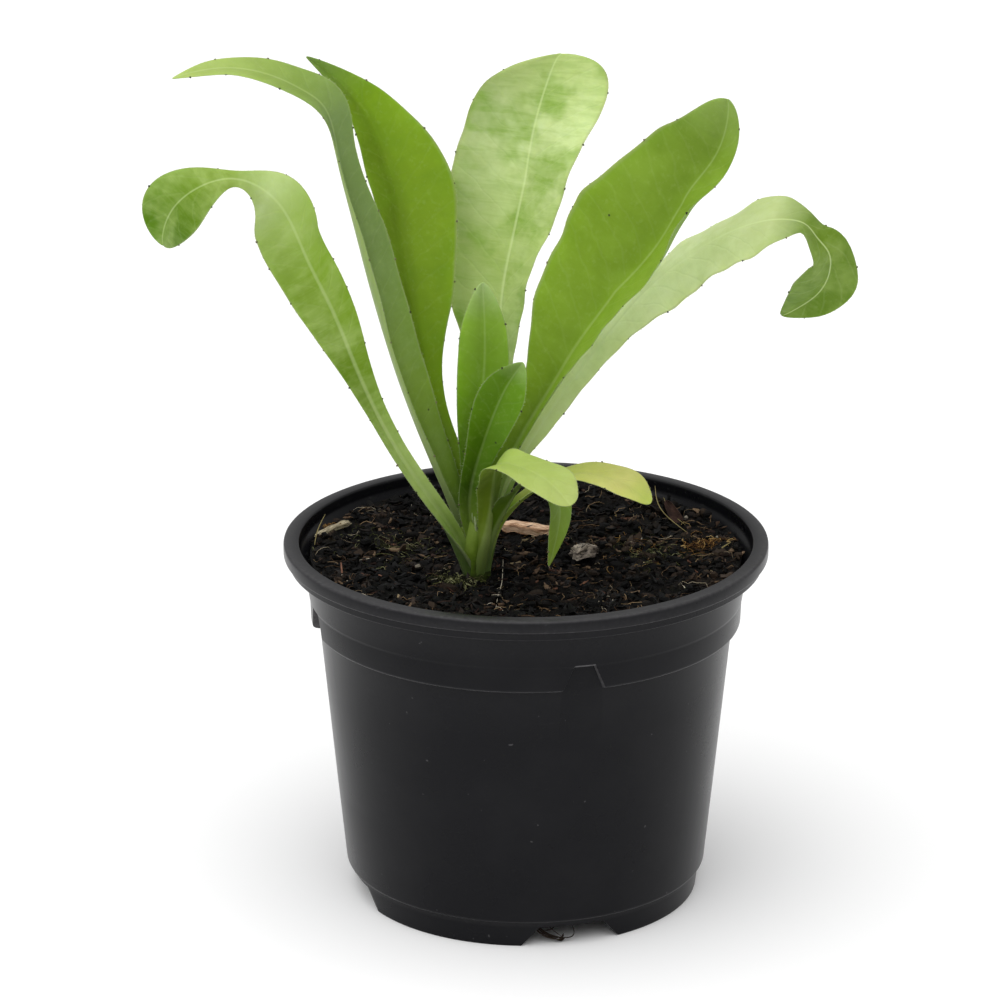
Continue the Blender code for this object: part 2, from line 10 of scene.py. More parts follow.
import bpy
import numpy as np
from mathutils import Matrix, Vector


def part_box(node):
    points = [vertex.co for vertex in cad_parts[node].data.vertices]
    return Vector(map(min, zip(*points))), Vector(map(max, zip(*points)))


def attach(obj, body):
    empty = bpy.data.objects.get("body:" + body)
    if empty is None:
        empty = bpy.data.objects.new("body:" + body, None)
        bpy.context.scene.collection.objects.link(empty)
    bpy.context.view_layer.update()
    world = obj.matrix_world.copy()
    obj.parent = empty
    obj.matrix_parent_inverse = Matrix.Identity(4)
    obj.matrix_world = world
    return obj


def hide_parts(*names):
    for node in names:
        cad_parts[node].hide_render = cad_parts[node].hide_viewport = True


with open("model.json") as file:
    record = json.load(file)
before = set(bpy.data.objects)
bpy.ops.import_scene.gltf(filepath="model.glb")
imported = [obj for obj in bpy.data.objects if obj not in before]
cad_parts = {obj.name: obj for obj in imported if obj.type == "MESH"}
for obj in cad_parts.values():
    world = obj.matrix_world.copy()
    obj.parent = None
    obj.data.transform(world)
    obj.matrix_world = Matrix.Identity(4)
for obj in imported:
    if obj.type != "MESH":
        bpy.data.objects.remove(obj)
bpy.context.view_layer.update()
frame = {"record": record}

MM = 0.001
pot_low, pot_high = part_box("pot")
POT_AXIS = np.array([(pot_low.x + pot_high.x) / 2, (pot_low.y + pot_high.y) / 2, 0.0]) / MM
POT_HEIGHT = pot_high.z / MM
RIM_RADIUS = (pot_high.x - pot_low.x) / 2 / MM


# Mesh helpers

def place(points):
    """Points in the pot's frame in mm, as points in the model's frame in metres."""
    return (np.asarray(points, float) + POT_AXIS) * MM


def srgb(red, green, blue):
    """A screen colour, 0 to 255, as the linear colour that a shader takes."""
    value = np.array([red, green, blue]) / 255
    return (*np.where(value < 0.04045, value / 12.92, ((value + 0.055) / 1.055) ** 2.4), 1.0)


def outward(points, faces):
    """The faces of closed shapes, all turned over if the volume that they enclose comes out negative."""
    volume = 0.0
    for count in {len(face) for face in faces}:
        corner = points[np.array([face for face in faces if len(face) == count])]
        for k in range(1, count - 1):
            volume += np.einsum("ni,ni->", corner[:, 0], np.cross(corner[:, k], corner[:, k + 1]))
    return [tuple(reversed(face)) for face in faces] if volume < 0 else faces


def new_object(name, data):
    """Put an object in the scene."""
    obj = bpy.data.objects.new(name, data)
    bpy.context.scene.collection.objects.link(obj)
    return obj


def new_piece(name, points, faces, material, slot, replaces=(), uv=None, angle=60, **measures):
    """Make a piece from points in mm and faces, ride it on the plant's one body and give it its finish. Each
    measure is a number or a vector for every point, which the mesh carries for the shaders."""
    mesh = bpy.data.meshes.new(name)
    points = np.asarray(points, float)
    mesh.from_pydata(place(points).tolist(), [], outward(points, faces))
    for key, values in measures.items():
        kind, field = ("FLOAT_VECTOR", "vector") if values.ndim == 2 else ("FLOAT", "value")
        mesh.attributes.new(key, kind, "POINT").data.foreach_set(field, values.astype(np.float32).ravel())
    if uv is not None:
        corners = np.empty(len(mesh.loops), np.int32)
        mesh.loops.foreach_get("vertex_index", corners)
        layer = mesh.uv_layers.new(name="UVMap")
        layer.data.foreach_set("uv", uv[corners].astype(np.float32).ravel())
    mesh.materials.append(material)
    mesh.validate()
    mesh.shade_smooth()
    mesh.set_sharp_from_angle(angle=math.radians(angle))
    obj = new_object(name, mesh)
    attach(obj, "root")
    if replaces:
        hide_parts(*replaces)
    return obj


def pack(*parts):
    """Numbers or arrays side by side, as the coordinates of points."""
    return np.stack(np.broadcast_arrays(*parts), axis=-1)


def tube_faces(rows, columns):
    """Faces of a tube of rings with a fan to one more point at each end: first the start, then the end."""
    row, column = np.meshgrid(np.arange(rows - 1), np.arange(columns), indexing="ij")
    a, b = row * columns + column, row * columns + (column + 1) % columns
    quads = pack(a, b, b + columns, a + columns).reshape(-1, 4).tolist()
    start, end, last = rows * columns, rows * columns + 1, (rows - 1) * columns
    fans = [(start, (j + 1) % columns, j) for j in range(columns)]
    return quads + fans + [(end, last + j, last + (j + 1) % columns) for j in range(columns)]


def tube(grid, ends):
    """Points and faces of a tube: a grid of rings, closed by one more point at each end."""
    return np.concatenate([grid.reshape(-1, 3), ends]), tube_faces(*grid.shape[:2])


def circle(count):
    """Angles evenly round a circle."""
    return np.linspace(0, 2 * np.pi, count, endpoint=False)


def merge(parts):
    """Join (points, faces, tone) parts into one, with the tone of its part at every point."""
    points, faces, tones, offset = [], [], [], 0
    for part_points, part_faces, tone in parts:
        points.append(part_points)
        tones.append(np.full(len(part_points), tone))
        faces += [tuple(offset + k for k in face) for face in part_faces]
        offset += len(part_points)
    return np.concatenate(points), faces, np.concatenate(tones)


def spline(values, knots, t):
    """Natural cubic spline through rows of values at the knots, read at every t."""
    n = len(values)
    h = np.diff(knots)
    matrix = np.zeros((n, n))
    right = np.zeros_like(values)
    matrix[0, 0] = matrix[-1, -1] = 1.0
    for i in range(1, n - 1):
        matrix[i, i - 1:i + 2] = h[i - 1], 2 * (h[i - 1] + h[i]), h[i]
        right[i] = 6 * ((values[i + 1] - values[i]) / h[i] - (values[i] - values[i - 1]) / h[i - 1])
    bend = np.linalg.solve(matrix, right)
    k = np.clip(np.searchsorted(knots, t, side="right") - 1, 0, n - 2)
    d = (t - knots[k])[:, None]
    span = h[k][:, None]
    slope = (values[k + 1] - values[k]) / span - span * (2 * bend[k] + bend[k + 1]) / 6
    return values[k] + d * slope + d ** 2 * bend[k] / 2 + d ** 3 * (bend[k + 1] - bend[k]) / (6 * span)


def chord_knots(points):
    """Shares of the chord length at which a curve passes its points."""
    length = np.cumsum(np.linalg.norm(np.diff(points, axis=0), axis=1))
    return np.concatenate([[0.0], length]) / length[-1]


def unit(vectors):
    """Vectors of length 1."""
    return vectors / np.maximum(np.linalg.norm(vectors, axis=-1, keepdims=True), 1e-12)


def hash_noise(cells, seed):
    """A fixed number from 0 to 1 for every row of whole numbers."""
    mixed = np.zeros(cells.shape[:-1])
    for axis in range(cells.shape[-1]):
        mixed = mixed + cells[..., axis] * (12.9898 + 65.2331 * axis)
    return np.mod(np.sin(mixed + seed * 7.137) * 43758.5453, 1.0)


def value_noise(x, y, size, seed):
    """Smooth noise from -1 to 1: random values at the corners of squares of that size, blended between."""
    u, v = x / size, y / size
    cell = pack(np.floor(u), np.floor(v))
    fu, fv = u - cell[..., 0], v - cell[..., 1]
    fu, fv = fu * fu * (3 - 2 * fu), fv * fv * (3 - 2 * fv)
    corner = [[hash_noise(cell + (i, j), seed) for j in (0, 1)] for i in (0, 1)]
    low = corner[0][0] * (1 - fv) + corner[0][1] * fv
    high = corner[1][0] * (1 - fv) + corner[1][1] * fv
    return 2 * (low * (1 - fu) + high * fu) - 1


def crumb_noise(x, y, size, seed):
    """Rounded crumbs: a dome of random height about one random point in every square of that size."""
    u, v = x / size, y / size
    cell = pack(np.floor(u), np.floor(v))
    best = np.zeros_like(u)
    for i in (-1, 0, 1):
        for j in (-1, 0, 1):
            here = cell + (i, j)
            cx = here[..., 0] + hash_noise(here, seed)
            cy = here[..., 1] + hash_noise(here, seed + 1)
            radius = 0.35 + 0.45 * hash_noise(here, seed + 2)
            distance = ((u - cx) ** 2 + (v - cy) ** 2) / radius ** 2
            dome = np.sqrt(np.clip(1 - distance, 0, 1)) * (0.3 + 0.7 * hash_noise(here, seed + 3))
            best = np.maximum(best, dome)
    return best


# Shader helpers

def new_material(name, colour, roughness):
    """A Principled material, its node tree and its shader."""
    material = bpy.data.materials.new(name)
    material.use_nodes = True
    shader = fill(material.node_tree.nodes["Principled BSDF"], {"Base Color": colour, "Roughness": roughness})
    return material, material.node_tree, shader


def fill(node, inputs):
    """Fill a node's inputs with values or links."""
    for key, value in inputs.items():
        if isinstance(value, bpy.types.NodeSocket):
            node.id_data.links.new(value, node.inputs[key])
        else:
            node.inputs[key].default_value = value
    return node


def add(tree, kind, inputs=None, **settings):
    """Add a node, set its properties and fill its inputs."""
    node = tree.nodes.new(kind)
    for key, value in settings.items():
        setattr(node, key, value)
    return fill(node, inputs or {})


def tree_of(*values):
    """The node tree that the first socket among the values belongs to."""
    return next(value.id_data for value in values if isinstance(value, bpy.types.NodeSocket))


def maths(operation, *values, clamp=False):
    """A Math node's result."""
    return add(tree_of(*values), "ShaderNodeMath", dict(enumerate(values)), operation=operation,
               use_clamp=clamp).outputs[0]


def plus(*values, clamp=False):
    """The sum of values, each added to those before it."""
    total = values[0]
    for value in values[1:]:
        total = maths("ADD", total, value, clamp=clamp)
    return total


def minus(first, second):
    """The first value less the second."""
    return maths("SUBTRACT", first, second)


def times(*values):
    """The product of values."""
    product = values[0]
    for value in values[1:]:
        product = maths("MULTIPLY", product, value)
    return product


def ramp(value, low, high):
    """A value taken smoothly from 0 at low to 1 at high."""
    return add(value.id_data, "ShaderNodeMapRange", {"Value": value, "From Min": low, "From Max": high},
               interpolation_type="SMOOTHSTEP").outputs["Result"]


def mix(share, first, second, blend="MIX"):
    """Two colours blended by a share."""
    return add(tree_of(share, first, second), "ShaderNodeMix", {0: share, 6: first, 7: second},
               data_type="RGBA", blend_type=blend).outputs[2]


def multiply(first, second):
    """Two colours multiplied."""
    return mix(1.0, first, second, "MULTIPLY")


def colour_run(value, stops):
    """A colour that runs through stops of (share, red, green, blue)."""
    run = add(value.id_data, "ShaderNodeValToRGB", {"Fac": value})
    elements = run.color_ramp.elements
    elements[0].position, elements[0].color = stops[0][0], srgb(*stops[0][1:])
    elements[1].position, elements[1].color = stops[-1][0], srgb(*stops[-1][1:])
    for stop in stops[1:-1]:
        elements.new(stop[0]).color = srgb(*stop[1:])
    return run.outputs["Color"]


def noise(vector, scale, detail=3.0, rough=0.55, bent=0.0, unit_size=MM):
    """Noise from 0 to 1 on a vector; scale is features per unit size, which is a millimetre on the piece."""
    return add(vector.id_data, "ShaderNodeTexNoise", {
        "Vector": vector, "Scale": scale / unit_size, "Detail": detail, "Roughness": rough,
        "Distortion": bent}).outputs["Fac"]


def mapped(vector, **inputs):
    """A vector scaled or moved."""
    return add(vector.id_data, "ShaderNodeMapping", {"Vector": vector, **inputs}).outputs["Vector"]


def split(vector):
    """The X, Y and Z of a vector."""
    return add(vector.id_data, "ShaderNodeSeparateXYZ", {0: vector}).outputs


def coordinate(tree, kind="Object"):
    """The point on the piece in metres, or its UV."""
    return add(tree, "ShaderNodeTexCoord").outputs[kind]


def attribute(tree, name, output="Fac"):
    """A value that the mesh carries."""
    return add(tree, "ShaderNodeAttribute", attribute_name=name).outputs[output]


def bump(height, distance, strength=1.0):
    """A bump of that height in mm."""
    return add(height.id_data, "ShaderNodeBump", {
        "Height": height, "Distance": distance * MM, "Strength": strength}).outputs["Normal"]


def new_group(name, spacing, outputs):
    """An empty shader group with a spacing in mm and named results, and its two end nodes."""
    group = bpy.data.node_groups.new(name, "ShaderNodeTree")
    given = group.interface.new_socket(name="Spacing", in_out="INPUT", socket_type="NodeSocketFloat")
    given.default_value = spacing
    for socket in outputs:
        group.interface.new_socket(name=socket, in_out="OUTPUT", socket_type="NodeSocketFloat")
    return group, group.nodes.new("NodeGroupInput").outputs["Spacing"], group.nodes.new("NodeGroupOutput")


def use_group(tree, group, spacing):
    """Place a group in a material with its own spacing."""
    return add(tree, "ShaderNodeGroup", {"Spacing": spacing}, node_tree=group).outputs


# Pot

POT_COLUMNS_SIDE = 22       # columns from a notch's edge to halfway to the next notch
POT_COLUMNS_NOTCH = 12
NOTCHES = 4
NOTCH_BEARING = -75.0
NOTCH_TOP = 5.6
RECESS_TOP = 83.0
SHOULDER_HEIGHT = 76.0
BODY_TOP_RADIUS = 55.6
BODY_FOOT_RADIUS = 48.9
FOOT_HEIGHT = 7.3
FOOT_RADIUS = 46.7
FOOT_TOP_RADIUS = 47.6
FOOT_WALL = 2.0
FLOOR_UNDERSIDE = 6.0
FLOOR_TOP = 7.8
WALL = 1.3
LIP_DEPTH = 3.3                 # of the bead at the rim
LIP_WIDTH = 4.2
COLLAR_TOP = 92.7
COLLAR_WALL = 58.3              # inner radius
FOOT_POINTS = 40                # of the section, at most, above the lowest one and still on the foot
DRAIN_CUT = 8.0                 # height of the block that cuts a drain slot
DRAIN_RADIUS = 37.5
DRAIN_SIZE = (9.0, 14.0)        # along and across the radius
EDGE_HEIGHTS = (0.0, NOTCH_TOP, 20.0, SHOULDER_HEIGHT, RECESS_TOP, POT_HEIGHT)
EDGE_HALF_WIDTHS = (16.8, 11.0, 8.0, 5.9, 2.9, 2.9)     # degrees, of the notch and the recess by height
EDGE_STEPS = ((0.0, 0.0), (0.1, 0.12), (0.2, 0.5), (0.3, 0.88), (0.4, 1.0))    # degrees inwards, depth of cut


def body_radius(z):
    """Outer radius of the pot's tapered body."""
    share = (z - FOOT_HEIGHT) / (SHOULDER_HEIGHT - FOOT_HEIGHT)
    return BODY_FOOT_RADIUS + (BODY_TOP_RADIUS - BODY_FOOT_RADIUS) * share


def rounded(corners, steps=3):
    """A profile of (radius, z, fillet) corners with each corner cut by a parabola that long on each side."""
    corners = np.array(corners, float)
    points = [corners[0, :2]]
    for before, corner, after in zip(corners, corners[1:], corners[2:]):
        here, fillet = corner[:2], corner[2]
        back, ahead = before[:2] - here, after[:2] - here
        start = here + back * min(0.49, fillet / np.linalg.norm(back))
        end = here + ahead * min(0.49, fillet / np.linalg.norm(ahead))
        for share in np.linspace(0, 1, steps + 1):
            points.append((1 - share) ** 2 * start + 2 * share * (1 - share) * here + share ** 2 * end)
    points.append(corners[-1, :2])
    return np.array(points)


def pot_profile():
    """The pot's section from the floor's middle up the inside, over the rim and down to the underside."""
    lip, step = POT_HEIGHT - LIP_DEPTH, RIM_RADIUS - 1.4
    return rounded([
        (0.5, FLOOR_TOP, 0), (body_radius(FLOOR_TOP) - WALL, FLOOR_TOP, 1.2),
        (body_radius(RECESS_TOP + 1) - WALL, RECESS_TOP + 1, 1.5), (COLLAR_WALL - 0.4, 88.0, 1.5),
        (COLLAR_WALL, COLLAR_TOP - 0.2, 1.0), (RIM_RADIUS - LIP_WIDTH, lip, 0.8),
        (RIM_RADIUS - LIP_WIDTH, POT_HEIGHT, 0.55), (RIM_RADIUS, POT_HEIGHT, 0.75),
        (RIM_RADIUS, lip, 0.35), (step, lip - 0.1, 0.3), (step, COLLAR_TOP + 0.1, 0.35),
        (59.6, COLLAR_TOP, 0.35), (58.25, RECESS_TOP + 0.4, 0.1), (58.15, RECESS_TOP + 0.1, 0.05),
        (58.05, RECESS_TOP - 0.3, 0.1), (57.8, SHOULDER_HEIGHT + 0.6, 0.5), (57.0, SHOULDER_HEIGHT, 0.4),
        (BODY_TOP_RADIUS, SHOULDER_HEIGHT - 0.15, 0.3), (body_radius(60), 60, 1), (body_radius(30), 30, 1),
        (BODY_FOOT_RADIUS, FOOT_HEIGHT + 0.6, 0.5), (BODY_FOOT_RADIUS - 0.6, FOOT_HEIGHT, 0.3),
        (FOOT_TOP_RADIUS, FOOT_HEIGHT - 0.1, 0.2), (47.4, NOTCH_TOP - 0.2, 0.1), (46.9, 1.5, 0.3),
        (FOOT_RADIUS, 0.0, 0.25), (FOOT_RADIUS - FOOT_WALL, 0.0, 0.25),
        (FOOT_RADIUS - FOOT_WALL, FLOOR_UNDERSIDE, 0.3), (0.5, FLOOR_UNDERSIDE, 0)])


def cut_profile(profile):
    """The same section inside a notch's bearing: the foot's wall ends at the notch's top, and the collar
    under the recess's top lies back on the body."""
    cut = profile.copy()
    foot = np.arange(len(profile)) > int(np.argmin(profile[:, 1])) - FOOT_POINTS
    below = foot & (profile[:, 1] < NOTCH_TOP) & (profile[:, 0] > FOOT_RADIUS - FOOT_WALL - 1)
    cut[below, 1] = NOTCH_TOP
    outside = np.arange(len(profile)) > int(np.argmax(profile[:, 0]))
    collar = outside & (profile[:, 1] < RECESS_TOP) & (profile[:, 1] > SHOULDER_HEIGHT - 0.3)
    cut[collar, 0] = body_radius(profile[collar, 1]) + 0.05
    return cut


def pot_mesh():
    """Grid of the section's points by columns round the axis. The columns lean so that one follows each
    slanted edge of the notches and recesses, and five more step into the cut with a small round."""
    whole = pot_profile()
    cut = cut_profile(whole)
    reach = 180 / NOTCHES
    sides = np.linspace(0, 1, POT_COLUMNS_SIDE + 1)[:-1]
    inside = np.linspace(-1, 1, POT_COLUMNS_NOTCH + 1)[1:-1]
    columns = []
    for index in range(NOTCHES):
        middle = NOTCH_BEARING + 2 * reach * index
        columns += [(middle, -1, share, 0.0, 0.0) for share in sides]
        columns += [(middle, -1, 1.0, step, depth) for step, depth in EDGE_STEPS]
        columns += [(middle, share, None, EDGE_STEPS[-1][0], 1.0) for share in inside]
        columns += [(middle, 1, 1.0, step, depth) for step, depth in reversed(EDGE_STEPS)]
        columns += [(middle, 1, share, 0.0, 0.0) for share in sides[:0:-1]]
    points = []
    for middle, side, share, step, depth in columns:
        section = whole * (1 - depth) + cut * depth
        half = np.interp(section[:, 1], EDGE_HEIGHTS, EDGE_HALF_WIDTHS) - step
        turn = half if share in (None, 1.0) else reach - (reach - half) * share
        angle = np.radians(middle + side * turn)
        radius = section[:, 0]
        points.append(pack(radius * np.cos(angle), radius * np.sin(angle), section[:, 1]))
    ends = [(0.0, 0.0, FLOOR_TOP), (0.0, 0.0, FLOOR_UNDERSIDE)]
    return *tube(np.stack(points, axis=1), ends), edge_wear(whole, [column[-1] for column in columns])


def edge_wear(section, depths):
    """How worn each point of the grid is, with painted highlight: a bell curve about every moulded edge of
    the outside, and the slanted edges of the recesses, where the depth of the cut is neither none nor whole.
    The lightening there is partly rubbing and partly painted highlight where these edges catch the light from
    above."""
    z, depth = section[:, 1:2], np.array(depths)[None]
    outside = (np.arange(len(section)) > int(np.argmax(section[:, 0])))[:, None]
    wear = np.zeros((len(section), len(depths)))
    for height, strength in ((SHOULDER_HEIGHT + 0.1, 1.0), (COLLAR_TOP, 0.35), (POT_HEIGHT - LIP_DEPTH, 0.6),
                             (FOOT_HEIGHT, 0.4)):
        here = strength * np.exp(-((z - height) / 0.3) ** 2) * outside
        wear = np.maximum(wear, here * (1 - depth if height < RECESS_TOP and height > 60 else 1))
    in_collar = outside & (z > SHOULDER_HEIGHT) & (z < RECESS_TOP + 0.2)
    wear = np.maximum(wear, in_collar * (depth > 0.05) * (depth < 0.95) * 1.0)
    top = outside & (np.abs(z - RECESS_TOP - 0.1) < 0.35)
    wear = np.maximum(wear, top * depth)
    rim = section[:, :1] > RIM_RADIUS - 1.2
    wear = np.maximum(wear, 0.5 * np.exp(-((z - POT_HEIGHT) / 0.5) ** 2) * rim)
    return np.concatenate([wear.ravel(), [0.0, 0.0]])


def pot_material():
    """Black moulded plastic: satin, with a faint grain, a dull grey coat on the rim's top, a little dust, and
    pale moulded edges that are painted highlight with some rubbing.
    """
    material, tree, shader = new_material("black_plastic", srgb(18, 18, 21), 0.3)
    where = coordinate(tree)
    height = split(where)["Z"]
    fine, broad = noise(where, 0.9, 4), noise(where, 0.04, 4, 0.6)
    rim = ramp(height, (POT_HEIGHT - 1.0) * MM, (POT_HEIGHT - 0.1) * MM)
    lip = ramp(height, (POT_HEIGHT - 4.0) * MM, (POT_HEIGHT - 2.8) * MM)
    scuff = ramp(noise(mapped(where, Scale=(1.0, 1.0, 3.5)), 0.32, 5, 0.7), 0.6, 0.72)
    specks = ramp(noise(where, 0.55, 1), 0.785, 0.82)
    # Pale marks: a dull coat on the rim, dust specks, scuffs, and along the moulded edges rubbing with
    # painted highlights.
    film_and_highlight = plus(times(rim, 0.02), times(specks, 0.12), times(scuff, plus(times(lip, 0.05), 0.008)),
                times(ramp(broad, 0.4, 0.7), 0.006),
                times(attribute(tree, "wear"), plus(fine, 0.1), 0.3), clamp=True)
    grain = plus(noise(where, 1.6, 3), times(fine, 0.5))
    fill(shader, {
        "Base Color": mix(film_and_highlight, srgb(16, 16, 19), srgb(160, 158, 160)),
        "Roughness": plus(times(film_and_highlight, 0.6), times(broad, 0.12), 0.22),
        "Specular IOR Level": 0.11, "Normal": bump(grain, 0.015, 0.4)})
    return material


def make_pot():
    """The pot, with its four drain slots cut through the floor."""
    points, faces, wear = pot_mesh()
    pot = new_piece("pot_shell", points, faces, pot_material(), "pot", ["pot"], angle=50, wear=wear)
    for index in range(NOTCHES):
        a = math.radians(NOTCH_BEARING + 360 / NOTCHES * index)
        bpy.ops.mesh.primitive_cube_add(size=1)
        cutter = bpy.context.object
        cutter.name = "drain_cutter_%d" % index
        cutter.scale = (DRAIN_SIZE[0] * MM, DRAIN_SIZE[1] * MM, DRAIN_CUT * MM)
        cutter.location = place((DRAIN_RADIUS * math.cos(a), DRAIN_RADIUS * math.sin(a), FLOOR_UNDERSIDE))
        cutter.rotation_euler.z = a
        cut = pot.modifiers.new("drain", "BOOLEAN")
        cut.object, cut.operation, cut.solver = cutter, "DIFFERENCE", "EXACT"
        bpy.context.view_layer.update()
        mesh = bpy.data.meshes.new_from_object(pot.evaluated_get(bpy.context.evaluated_depsgraph_get()))
        pot.modifiers.clear()
        pot.data = mesh
        bpy.data.objects.remove(cutter)
    pot.data.name = "pot_shell"


# Soil

CROWN = np.array([-13.0, -10.0, 92.0])
SEED = 11
SOIL_RISE = 2.8
SOIL_RADIUS = 60.0
SOIL_LUMPS = 46
SOIL_LUMP_HEIGHT = 1.3
SOIL_EDGE = 57.9            # radius at which its top meets the wall
SOIL_FLOOR = FLOOR_TOP + 0.4
SOIL_SIDE = ((57.7, 92.0), (57.3, 88.0), (54.1, RECESS_TOP + 1), (47.2, SOIL_FLOOR))      # radius, height


def soil_lumps():
    """Seeded places, sizes and heights of the soil's low lumps."""
    rng = np.random.default_rng(SEED)
    angle = rng.uniform(0, 2 * math.pi, SOIL_LUMPS)
    radius = SOIL_RADIUS * np.sqrt(rng.uniform(0, 1, SOIL_LUMPS))
    size = rng.uniform(4.0, 9.0, SOIL_LUMPS)
    height = SOIL_LUMP_HEIGHT * rng.uniform(-0.6, 1.0, SOIL_LUMPS)
    return list(zip(radius * np.cos(angle), radius * np.sin(angle), size, height))


LUMPS = soil_lumps()


def soil_height(x, y):
    """Level of the soil: it rises with the square of the radius, plus a Gaussian for each lump."""
    share = (x ** 2 + y ** 2) / SOIL_RADIUS ** 2
    lumps = sum(height * np.exp(-((x - cx) ** 2 + (y - cy) ** 2) / size ** 2)
                for cx, cy, size, height in LUMPS)
    return CROWN[2] + SOIL_RISE * share + lumps * (1 - share ** 3)


def soil_relief(x, y):
    """Crumbs of three sizes, bent out of round by noise, and fine grit over the soil's level."""
    x2 = x + 1.4 * value_noise(x, y, 2.3, 40) + 0.5 * value_noise(x, y, 0.9, 42)
    y2 = y + 1.4 * value_noise(x, y, 2.3, 41) + 0.5 * value_noise(x, y, 0.9, 43)
    coarse = crumb_noise(x2, y2, 5.0, 1) * (0.5 + 0.5 * value_noise(x, y, 12, 9))
    broad = 1.0 * value_noise(x, y, 7.5, 27) + 0.5 * value_noise(x, y, 4.0, 28)
    return (broad + 1.3 * coarse + 0.9 * crumb_noise(x2, y2, 2.3, 5) + 0.5 * crumb_noise(x2, y2, 1.2, 12)
            + 0.3 * value_noise(x, y, 0.8, 20) + 0.15 * value_noise(x, y, 0.45, 21) - 0.9)


def make_soil():
    """A closed plug: its top a polar grid raised by the relief, its side the pot's inside less a gap."""
    rings, columns = 190, 450
    r, a = np.meshgrid(SOIL_EDGE * np.linspace(1 / rings, 1, rings), circle(columns), indexing="ij")
    x, y = r * np.cos(a), r * np.sin(a)
    relief = soil_relief(x, y)
    top = pack(x, y, soil_height(x, y) + relief * (1 - (r / SOIL_EDGE) ** 30))
    side = [pack(radius * np.cos(a[0]), radius * np.sin(a[0]), level) for radius, level in SOIL_SIDE]
    ends = [(0.0, 0.0, float(soil_height(0.0, 0.0))), (0.0, 0.0, SOIL_FLOOR)]
    points, faces = tube(np.concatenate([top, side]), ends)
    # The top's tone is painted shade by the relief: darker where it dips, lighter on the crumbs.
    painted_relief_shade = np.full(len(points), 0.3)
    painted_relief_shade[:relief.size] = np.clip(0.35 + 0.45 * relief.ravel(), 0, 1)
    damp = np.clip(0.5 + 0.8 * value_noise(points[:, 0], points[:, 1], 2.2, 33), 0, 1)
    tone = painted_relief_shade * (0.45 + 0.55 * damp)
    new_piece("soil_bed", points, faces, soil_material(), "soil", ["soil"], angle=180, tone=tone)


def soil_material():
    """Moist peat: near black in the dips and brown on the crumbs, by a tone that is largely painted shade
    from the relief, with a few rusty and mossy patches.
    """
    material, tree, shader = new_material("peat", srgb(34, 26, 21), 0.8)
    where = coordinate(tree)
    fine = noise(where, 1.1, 5, 0.7)
    share = plus(times(attribute(tree, "tone"), 0.8), times(minus(fine, 0.4), 0.9), clamp=True)
    colour = colour_run(share, ((0.0, 3, 3, 3), (0.4, 8, 7, 6), (0.65, 24, 19, 15), (0.85, 50, 39, 30),
                                (1.0, 86, 70, 54)))
    for scale, low, high, tint in ((0.07, 0.54, 0.66, (255, 196, 158)), (0.11, 0.58, 0.68, (210, 236, 150))):
        patch = times(ramp(noise(where, scale, 3), low, high), 0.5)
        colour = mix(patch, colour, multiply(colour, srgb(*tint)))
    fill(shader, {"Base Color": colour, "Roughness": minus(0.95, times(fine, 0.6)), "Specular IOR Level": 0.1,
                  "Normal": bump(fine, 0.5, 1.0)})
    return material


# Litter on the soil

def tone_material(name, colours, roughness, grain=1.5, depth=0.1):
    """A finish whose colour runs through a few colours by the piece's tone, broken up by a fine grain."""
    material, tree, shader = new_material(name, srgb(*colours[0]), roughness)
    fine = noise(coordinate(tree), grain, 4, 0.6)
    share = plus(attribute(tree, "tone"), times(minus(fine, 0.5), 0.7), clamp=True)
    stops = [(at, *colour) for at, colour in zip(np.linspace(0.02, 0.98, len(colours)), colours)]
    fill(shader, {"Base Color": colour_run(share, stops), "Specular IOR Level": 0.12,
                  "Normal": bump(fine, depth, 0.7)})
    return material


def blob_shape(rings=3, sides=6):
    """A round lump of unit radius: its directions, and its faces."""
    polar = np.linspace(0, np.pi, rings + 2)[1:-1]
    p, a = np.meshgrid(polar, circle(sides), indexing="ij")
    return tube(pack(np.sin(p) * np.cos(a), np.sin(p) * np.sin(a), np.cos(p)), [(0, 0, 1), (0, 0, -1)])


def turned_by(rng, count, tilt):
    """Rotation matrices: any turn about the vertical, after a random tilt of about that many radians."""
    axis, lean = rng.uniform(0, 2 * np.pi, count), rng.normal(size=count) * tilt
    turn = rng.uniform(0, 2 * np.pi, count)
    c, s, v = np.cos(lean), np.sin(lean), 1 - np.cos(lean)
    x, y = np.cos(axis), np.sin(axis)
    tilted = np.stack([pack(c + x * x * v, x * y * v, y * s), pack(x * y * v, c + y * y * v, -x * s),
                       pack(-y * s, x * s, c)], axis=1)
    cos, sin = np.cos(turn), np.sin(turn)
    about = np.stack([pack(cos, -sin, 0.0), pack(sin, cos, 0.0), pack(np.zeros(count), 0.0, 1.0)], axis=1)
    return np.einsum("nij,njk->nik", tilted, about)


CLEAR_SPOTS = ((CROWN[0], CROWN[1], 5.5), (0.0, 19.5, 5.5), (-4.0, 21.5, 4.0), (4.5, 17.0, 4.5),
               (-51.0, 17.5, 4.0), (-54.0, 14.0, 3.5), (-48.0, 21.0, 3.5), (15.5, 0.5, 4.5))
LITTER_REACH = 57.5         # from the axis
FIBRE_REACH = 57.3
FIBRE_BEND = 0.9            # radians from end to end, most often less


def scatter(rng, count, spots=None):
    """Places on the soil: given ones, or random ones clear of the crown and of the loose pieces that show."""
    if spots is not None:
        return np.array(spots, float).T
    angle = rng.uniform(0, 2 * np.pi, count * 2)
    radius = LITTER_REACH * np.sqrt(rng.uniform(0, 1, count * 2))
    x, y = radius * np.cos(angle), radius * np.sin(angle)
    keep = np.ones(count * 2, bool)
    for cx, cy, clear in CLEAR_SPOTS:
        keep &= np.hypot(x - cx, y - cy) > clear
    return x[keep][:count], y[keep][:count]


